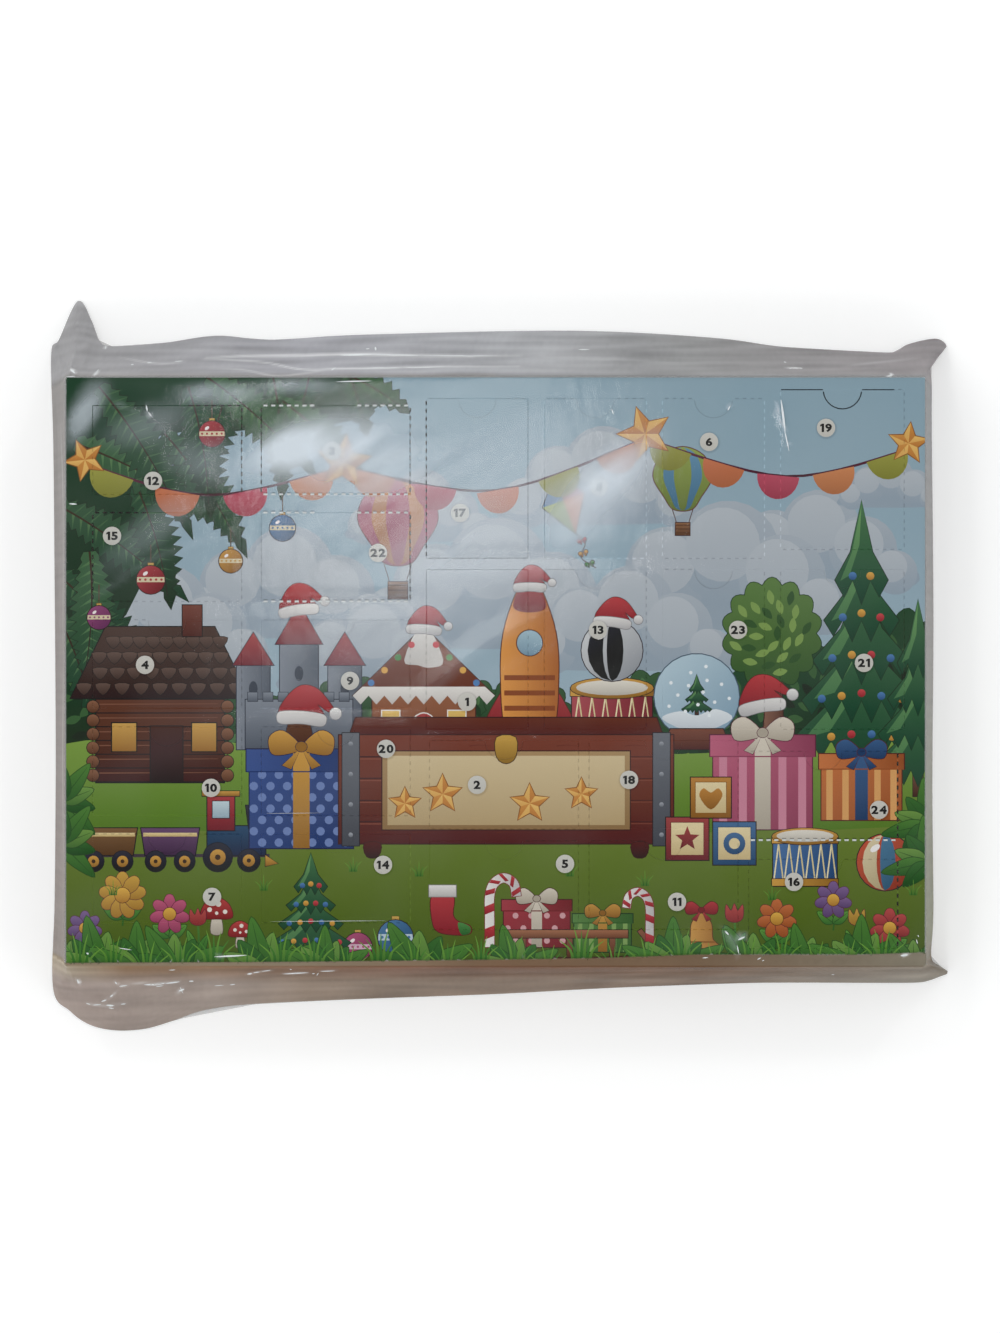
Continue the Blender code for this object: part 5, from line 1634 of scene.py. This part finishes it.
def make_glints(verts, faces):
    """Thin slivers that lie on the film, each riding what the film under it rides."""
    film = BVHTree.FromPolygons(verts.tolist(), faces.tolist())
    groups = {}
    for x0, y0, x1, y1, wide in GLINTS:
        a, b = np.array(front(x0, y0)), np.array(front(x1, y1))
        middle = (a + b) / 2
        number = next((n for n in NUMBERS if within_door(n, middle)), 0)
        groups.setdefault(number, []).append(sliver(a, b, wide, film))
    for number, slivers in groups.items():
        mesh = bpy.data.meshes.new("film_glints")
        points = np.vstack(slivers) * MM
        points[:, :2] += np.array(FRONT_LOW)[:2]
        quads, first = [], 0
        for rows in slivers:
            quads += [(k, k + 1, k + 3, k + 2) for k in range(first, first + len(rows) - 2, 2)]
            first += len(rows)
        mesh.from_pydata(points.tolist(), [], quads)
        mesh.materials.append(LOOKS["glint"])
        piece = new_piece(f"film_glints_{number:02d}", mesh)
        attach(piece, f"door_{number:02d}" if number else "calendar")


def within_door(number, spot):
    x0, y0, x1, y1 = door_edges(number)
    return x0 - 1 < spot[0] < x1 + 1 and y0 - 1 < spot[1] < y1 + 1


def sliver(a, b, wide, film):
    """Pairs of points from a to b, laid on the film; the pairs close up at both ends."""
    along = b - a
    long = np.linalg.norm(along)
    across = np.array([-along[1], along[0]]) / long
    steps = max(5, int(long / 0.9))
    rows = []
    for k in range(steps + 1):
        share = k / steps
        swell = wide * (0.03 + 0.47 * math.sin(math.pi * share) ** 0.8)
        for side in (-swell, swell):
            rows.append(on_film(a + along * share + across * side, film))
    return np.array(rows)


def on_film(spot, film):
    """The film's place under a spot, a little above it."""
    place, normal = film.ray_cast(Vector((*spot, 200)), Vector((0, 0, -1)))[:2]
    if place is None:
        place, normal = film.find_nearest(Vector((*spot, FLAT_Z)))[:2]
    return place + normal * (0.05 if normal.z > 0 else -0.05)


def vertex_normals(verts, faces):
    corners = verts[faces]
    across = np.cross(corners[:, 1] - corners[:, 0], corners[:, 2] - corners[:, 0])
    total = np.zeros_like(verts)
    for k in range(3):
        np.add.at(total, faces[:, k], across)
    return total / np.maximum(np.linalg.norm(total, axis=1, keepdims=True), 1e-12)


def add_film(name, body, verts, faces, normals, paint):
    """One sheet of film, of the vertices that its faces use."""
    used, places = np.unique(faces, return_inverse=True)
    mesh = bpy.data.meshes.new(name)
    world = verts[used] * MM
    world[:, 0] += FRONT_LOW.x
    world[:, 1] += FRONT_LOW.y
    mesh.from_pydata(world.tolist(), [], places.reshape(faces.shape).tolist())
    # The film's milky colour and opacity, with painted glare and the creases' painted highlights in it
    layer = mesh.color_attributes.new("milk_and_glare", "FLOAT_COLOR", "POINT")
    layer.data.foreach_set("color", paint[used].ravel())
    mesh.shade_smooth()
    mesh.normals_split_custom_set_from_vertices(normals[used].tolist())
    mesh.materials.append(LOOKS["film"])
    piece = new_piece(name, mesh)
    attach(piece, body)


# Looks of the pieces


def print_look():
    look = Look("printed_board")
    # The print, with the painted shade and highlights at the doors' slits
    colour = look.attribute("print").outputs["Color"]
    grain = look.noise(0.35, 2)
    colour = look.blend(look.span(grain, 0.3, 0.7, 0.0, 0.1), colour, "202020")
    colour = look.blend(look.span(look.noise(40, 2), 0.35, 0.65, 0.0, 0.015), colour, "E8E4DC")
    look.link(colour, "Base Color")
    look.roughen(3, 3, 0.36, 0.46)
    look.link(0.15, "Specular IOR Level")
    look.bump(look.noise(1.2, 3), 0.03, 0.4)
    return look.material


def bare_look():
    look = Look("bare_board")
    fibres = look.noise(0.5, 4, (5, 1, 1), 0.7)
    look.link(look.blend(fibres, "A9A296", "C9C3B7"), "Base Color")
    look.link(0.85, "Roughness")
    look.bump(fibres, 0.05, 0.6)
    return look.material


def film_look():
    """Clear film: glossy where it faces away, milky where it is hazy or doubled, with painted glare and crease
    highlights.
    """
    look = Look("clear_film")
    milk_and_glare = look.attribute("milk_and_glare")
    clear, gloss = look.node("ShaderNodeBsdfTransparent"), look.node("ShaderNodeBsdfGlossy")
    look.put(clear.inputs["Color"], (0.985, 0.985, 0.98, 1))
    look.put(gloss.inputs["Color"], (1, 1, 1, 1))
    look.put(gloss.inputs["Roughness"], 0.13)
    normal = look.bump(look.noise(9, 5, (1, 2.2, 1), 0.55), 0.35, 0.5)
    look.put(gloss.inputs["Normal"], normal)
    facing = look.node("ShaderNodeLayerWeight")
    look.put(facing.inputs["Blend"], 0.5)
    look.put(facing.inputs["Normal"], normal)
    shine = look.math("ADD", look.math("MULTIPLY", look.math("POWER", facing.outputs["Facing"], 5), 0.6), 0.035, True)
    look.link(milk_and_glare.outputs["Color"], "Base Color")
    look.link(0.25, "Roughness")
    look.link(0.006, "Specular IOR Level")
    sheet = look.mix(shine, clear.outputs[0], gloss.outputs[0])
    look.put(look.output.inputs["Surface"], look.mix(milk_and_glare.outputs["Alpha"], sheet, look.shader.outputs[0]))
    return look.material


def glint_look():
    look = Look("film_glint")
    look.link(look.blend(look.noise(1.5, 3), "DDE4E6", "F6F8F8"), "Base Color")
    look.link(0.2, "Roughness")
    look.link(0.85, "Alpha")
    return look.material


def back_film_look():
    look = Look("back_film")
    streaks = look.noise(2.5, 4, (12, 1, 1), 0.6)
    look.link(look.blend(streaks, "A8A5A3", "C4C2C0"), "Base Color")
    look.link(look.span(look.noise(30, 2, (3, 1, 1)), 0.3, 0.7, 0.16, 0.26), "Alpha")
    look.link(0.25, "Roughness")
    look.bump(streaks, 0.3, 0.5)
    return look.material


def wrap_look():
    """The carton: the front's sky and meadow run round its sides, and its back is bare board."""
    look = Look("carton_print")
    grain = look.noise(0.4, 3)
    place = look.split(look.spot)
    sky = look.blend(look.span(look.noise(26, 3), 0.45, 0.6), "7FA3B5", "B7C2C8")
    field = look.blend(look.noise(6, 4, (1, 1, 3)), "3D6C36", "6B9C4A")
    up = look.math("ADD", place["Y"], look.span(look.noise(14, 3), 0.2, 0.8, -8 * MM, 8 * MM))
    colour = look.blend(look.span(up, -34 * MM, -28 * MM), field, sky)
    colour = look.blend(look.span(grain, 0.3, 0.7, 0.0, 0.12), colour, "303030")
    board = look.blend(look.noise(0.6, 4, (4, 1, 1), 0.6), "B4AFA5", "CBC6BB")
    colour = look.blend(look.span(place["Z"], 1.2 * MM, 1.3 * MM), board, colour)
    look.link(colour, "Base Color")
    look.roughen(3, 3, 0.38, 0.5)
    look.bump(grain, 0.03, 0.4)
    return look.material


def tray_look():
    look = Look("tray_plastic")
    look.link(look.blend(look.noise(18, 2), "D2D2CE", "DCDCD8"), "Base Color")
    look.roughen(5, 3, 0.24, 0.36)
    look.bump(look.noise(7, 3), 0.12, 0.4)
    return look.material


RED, BLUE, GREEN, GOLD = "B03A36", "3468A8", "3F8548", "E2B23C"
CREAM, DARK, WOOD, GLASS = "E2DCCE", "303338", "7A4E30", "A9C4D2"
# Each toy's plastic, and boxes of other plastic on it: from and to as shares of its width, then of its height
TOY_PAINT = {
    1: (CREAM, (0, 1, 0.62, 0.78, RED), (0, 1, 0, 0.12, RED)),
    2: (RED, (0, 1, 0, 0.24, DARK), (0, 0.34, 0.78, 1, GOLD)),
    3: ("DB8032", (0, 0.18, 0, 1, RED), (0.36, 0.44, 0, 1, CREAM), (0.62, 0.7, 0, 1, CREAM)),
    4: (BLUE, (0, 0.3, 0, 1, RED), (0.44, 0.6, 0, 1, GOLD)),
    5: (RED, (0, 1, 0, 0.2, DARK), (0.3, 0.66, 0.62, 0.88, GLASS)),
    6: (CREAM, (0, 1, 0.78, 1, RED), (0, 1, 0, 0.1, RED), (0.25, 0.75, 0.5, 0.62, BLUE)),
    7: (BLUE, (0, 1, 0.4, 0.6, GOLD)),
    8: (GREEN, (0, 1, 0, 0.1, WOOD)),
    9: (CREAM, (0, 1, 0, 0.38, RED)),
    10: ("D9A52E", (0, 0.14, 0, 1, WOOD), (0.86, 1, 0, 1, "A87B1F")),
    11: (RED, (0, 0.14, 0, 1, CREAM), (0.86, 1, 0, 1, CREAM), (0.14, 0.86, 0.42, 0.58, GOLD)),
    12: (GOLD, (0.42, 0.58, 0.38, 0.56, "C98A28")),
    13: ("B6455E", (0, 1, 0.36, 0.46, GOLD), (0, 1, 0, 0.12, GREEN)),
    14: ("C9557E", (0.36, 0.64, 0.38, 0.64, GOLD)),
    15: (GREEN, (0.42, 0.58, 0, 1, CREAM)),
    16: ("7D4A93", (0.43, 0.57, 0, 1, GOLD), (0, 1, 0.82, 1, GOLD)),
    17: (
        "DCC397", (0, 1, 0.62, 1, RED), (0.42, 0.6, 0, 0.3, WOOD), (0.16, 0.32, 0.36, 0.5, GLASS),
        (0.68, 0.84, 0.36, 0.5, GLASS),
    ),
    18: ("E2C15A", (0, 1, 0, 0.1, "C9A23E")),
    19: ("9AA0A8", (0, 1, 0.84, 1, RED), (0.4, 0.6, 0, 0.28, WOOD)),
    20: (BLUE, (0.34, 0.64, 0, 1, CREAM), (0.64, 1, 0, 1, GOLD)),
    21: ("E9E6DF", (0, 1, 0.88, 1, DARK), (0, 1, 0.6, 0.67, RED)),
    22: (RED, (0.52, 1, 0, 1, CREAM)),
    23: ("E3D6B8", (0, 1, 0.88, 1, "DB8032"), (0, 1, 0, 0.08, GOLD)),
    24: (RED, (0, 1, 0, 0.2, GOLD)),
}


def toy_look(number):
    main, *boxes = TOY_PAINT[number]
    look = Look(f"toy_plastic_{number:02d}")
    place = look.split(look.node("ShaderNodeTexCoord").outputs["Generated"])
    colour = look.blend(look.span(look.noise(6, 2), 0.4, 0.6, 0.0, 0.1), main, "FFFFFF")
    for x0, x1, y0, y1, paint in boxes:
        share = look.math("MULTIPLY", within(look, place["X"], x0, x1), within(look, place["Y"], y0, y1))
        colour = look.blend(share, colour, paint)
    look.link(colour, "Base Color")
    look.roughen(4, 2, 0.22, 0.34)
    look.bump(look.noise(1.5, 2), 0.04, 0.3)
    return look.material


def within(look, place, low, high):
    """One between low and high, and nothing a little beyond them."""
    soft = 0.008
    return look.math("MULTIPLY", look.span(place, low - 2 * soft, low), look.span(place, high + 2 * soft, high))


def dress(node, material, bevel=0.0):
    """Gives a CAD piece its material, and rounds its edges by bevel millimetres."""
    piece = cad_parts[node]
    for slot in piece.material_slots:
        slot.material = material
    if bevel:
        round_off = piece.modifiers.new("round", "BEVEL")
        round_off.width = bevel * MM
        round_off.segments = 3
        round_off.limit_method = "ANGLE"


TURNED_TOYS = (1, 4, 6, 7, 10, 11, 13, 15, 20, 21, 22, 23)


def toy_profile(spots, axis, middle):
    """A turned toy's places along its axis and radii there, in order, softened between its sharp corners."""
    off = np.hypot(spots[:, 1 - axis] - middle[1 - axis], spots[:, 2] - middle[2])
    rings = {}
    for place, size in sorted(zip(spots[:, axis], off)):
        near = [p for p in rings if abs(p - place) < 2e-5]
        sizes = rings.setdefault(near[0] if near else place, [])
        if all(abs(size - other) > 2e-5 for other in sizes):
            sizes.append(size)
    line = []
    for place, sizes in rings.items():
        sizes.sort()
        if line and abs(sizes[-1] - line[-1][1]) < abs(sizes[0] - line[-1][1]):
            sizes.reverse()
        line += [(place, size) for size in sizes]
    line = np.array([(line[0][0], 0), *line, (line[-1][0], 0)])
    line = line[[True, *(np.linalg.norm(np.diff(line, axis=0), axis=1) > 2e-5)]]
    steps = np.diff(line, axis=0)
    headings = np.arctan2(steps[:, 1], steps[:, 0])
    turns = np.abs(np.diff(headings))
    corners = [0, *(n + 1 for n, turn in enumerate(turns) if turn > math.radians(42)), len(line) - 1]
    found = [line[:1]]
    for a, b in zip(corners, corners[1:]):
        found.append(curve(line[a : b + 1], 4, closed=False)[1:] if b - a > 1 else line[b : b + 1])
    return np.maximum(np.vstack(found), (-1, 0))


def turn_toy(node):
    """A finely turned piece in a turned toy's place, from the toy's own rings."""
    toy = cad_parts[node]
    spots = np.array([toy.matrix_world @ v.co for v in toy.data.vertices])
    middle = (spots.min(0) + spots.max(0)) / 2
    axis = min((0, 1), key=lambda k: len(np.unique(spots[:, k].round(5))))
    count, verts, rows = 40, [], []
    angles = 2 * np.pi * np.arange(count) / count
    for place, size in toy_profile(spots, axis, middle):
        ring = np.tile(middle, (count if size > 1e-5 else 1, 1))
        ring[:, axis] = place
        if size > 1e-5:
            ring[:, 1 - axis] += size * np.cos(angles)
            ring[:, 2] += size * np.sin(angles)
        rows.append(np.resize(np.arange(len(verts), len(verts) + len(ring)), count))
        verts += [tuple(p) for p in ring]
    faces = []
    for near, far in zip(rows, rows[1:]):
        for a, b, c, d in zip(near, np.roll(near, -1), np.roll(far, -1), far):
            face = tuple(dict.fromkeys((int(a), int(b), int(c), int(d))))
            faces.append(face[::-1] if axis else face)
    mesh = bpy.data.meshes.new(node)
    mesh.from_pydata(verts, [], faces)
    mesh.shade_smooth()
    mesh.set_sharp_from_angle(angle=math.radians(40))
    mesh.materials.append(toy_look(int(node[4:6])))
    piece = new_piece(f"{node}_turned", mesh)
    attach(piece, "calendar")
    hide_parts(node)
    toy.material_slots[0].name.split(".")[0]


LOOKS = {"print": print_look(), "bare": bare_look(), "film": film_look(), "glint": glint_look()}


def dress_frame():
    wrap, tray, back = wrap_look(), tray_look(), back_film_look()
    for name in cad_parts:
        if name.startswith("toy_tray"):
            dress(name, tray)
        elif name.startswith("toy_") and int(name[4:6]) in TURNED_TOYS:
            turn_toy(name)
        elif name.startswith("toy_"):
            dress(name, toy_look(int(name[4:6])), 0.8)
        elif name == "film_back":
            dress(name, back)
        elif name not in ("front_panel", "film_front") and not name.startswith("door"):
            dress(name, wrap)


make_camera()
make_light()
make_floor()
paint_picture()
cuts = paint_cuts(Brush())
paint_badges(Brush())
print_front(cuts)
make_film()
dress_frame()
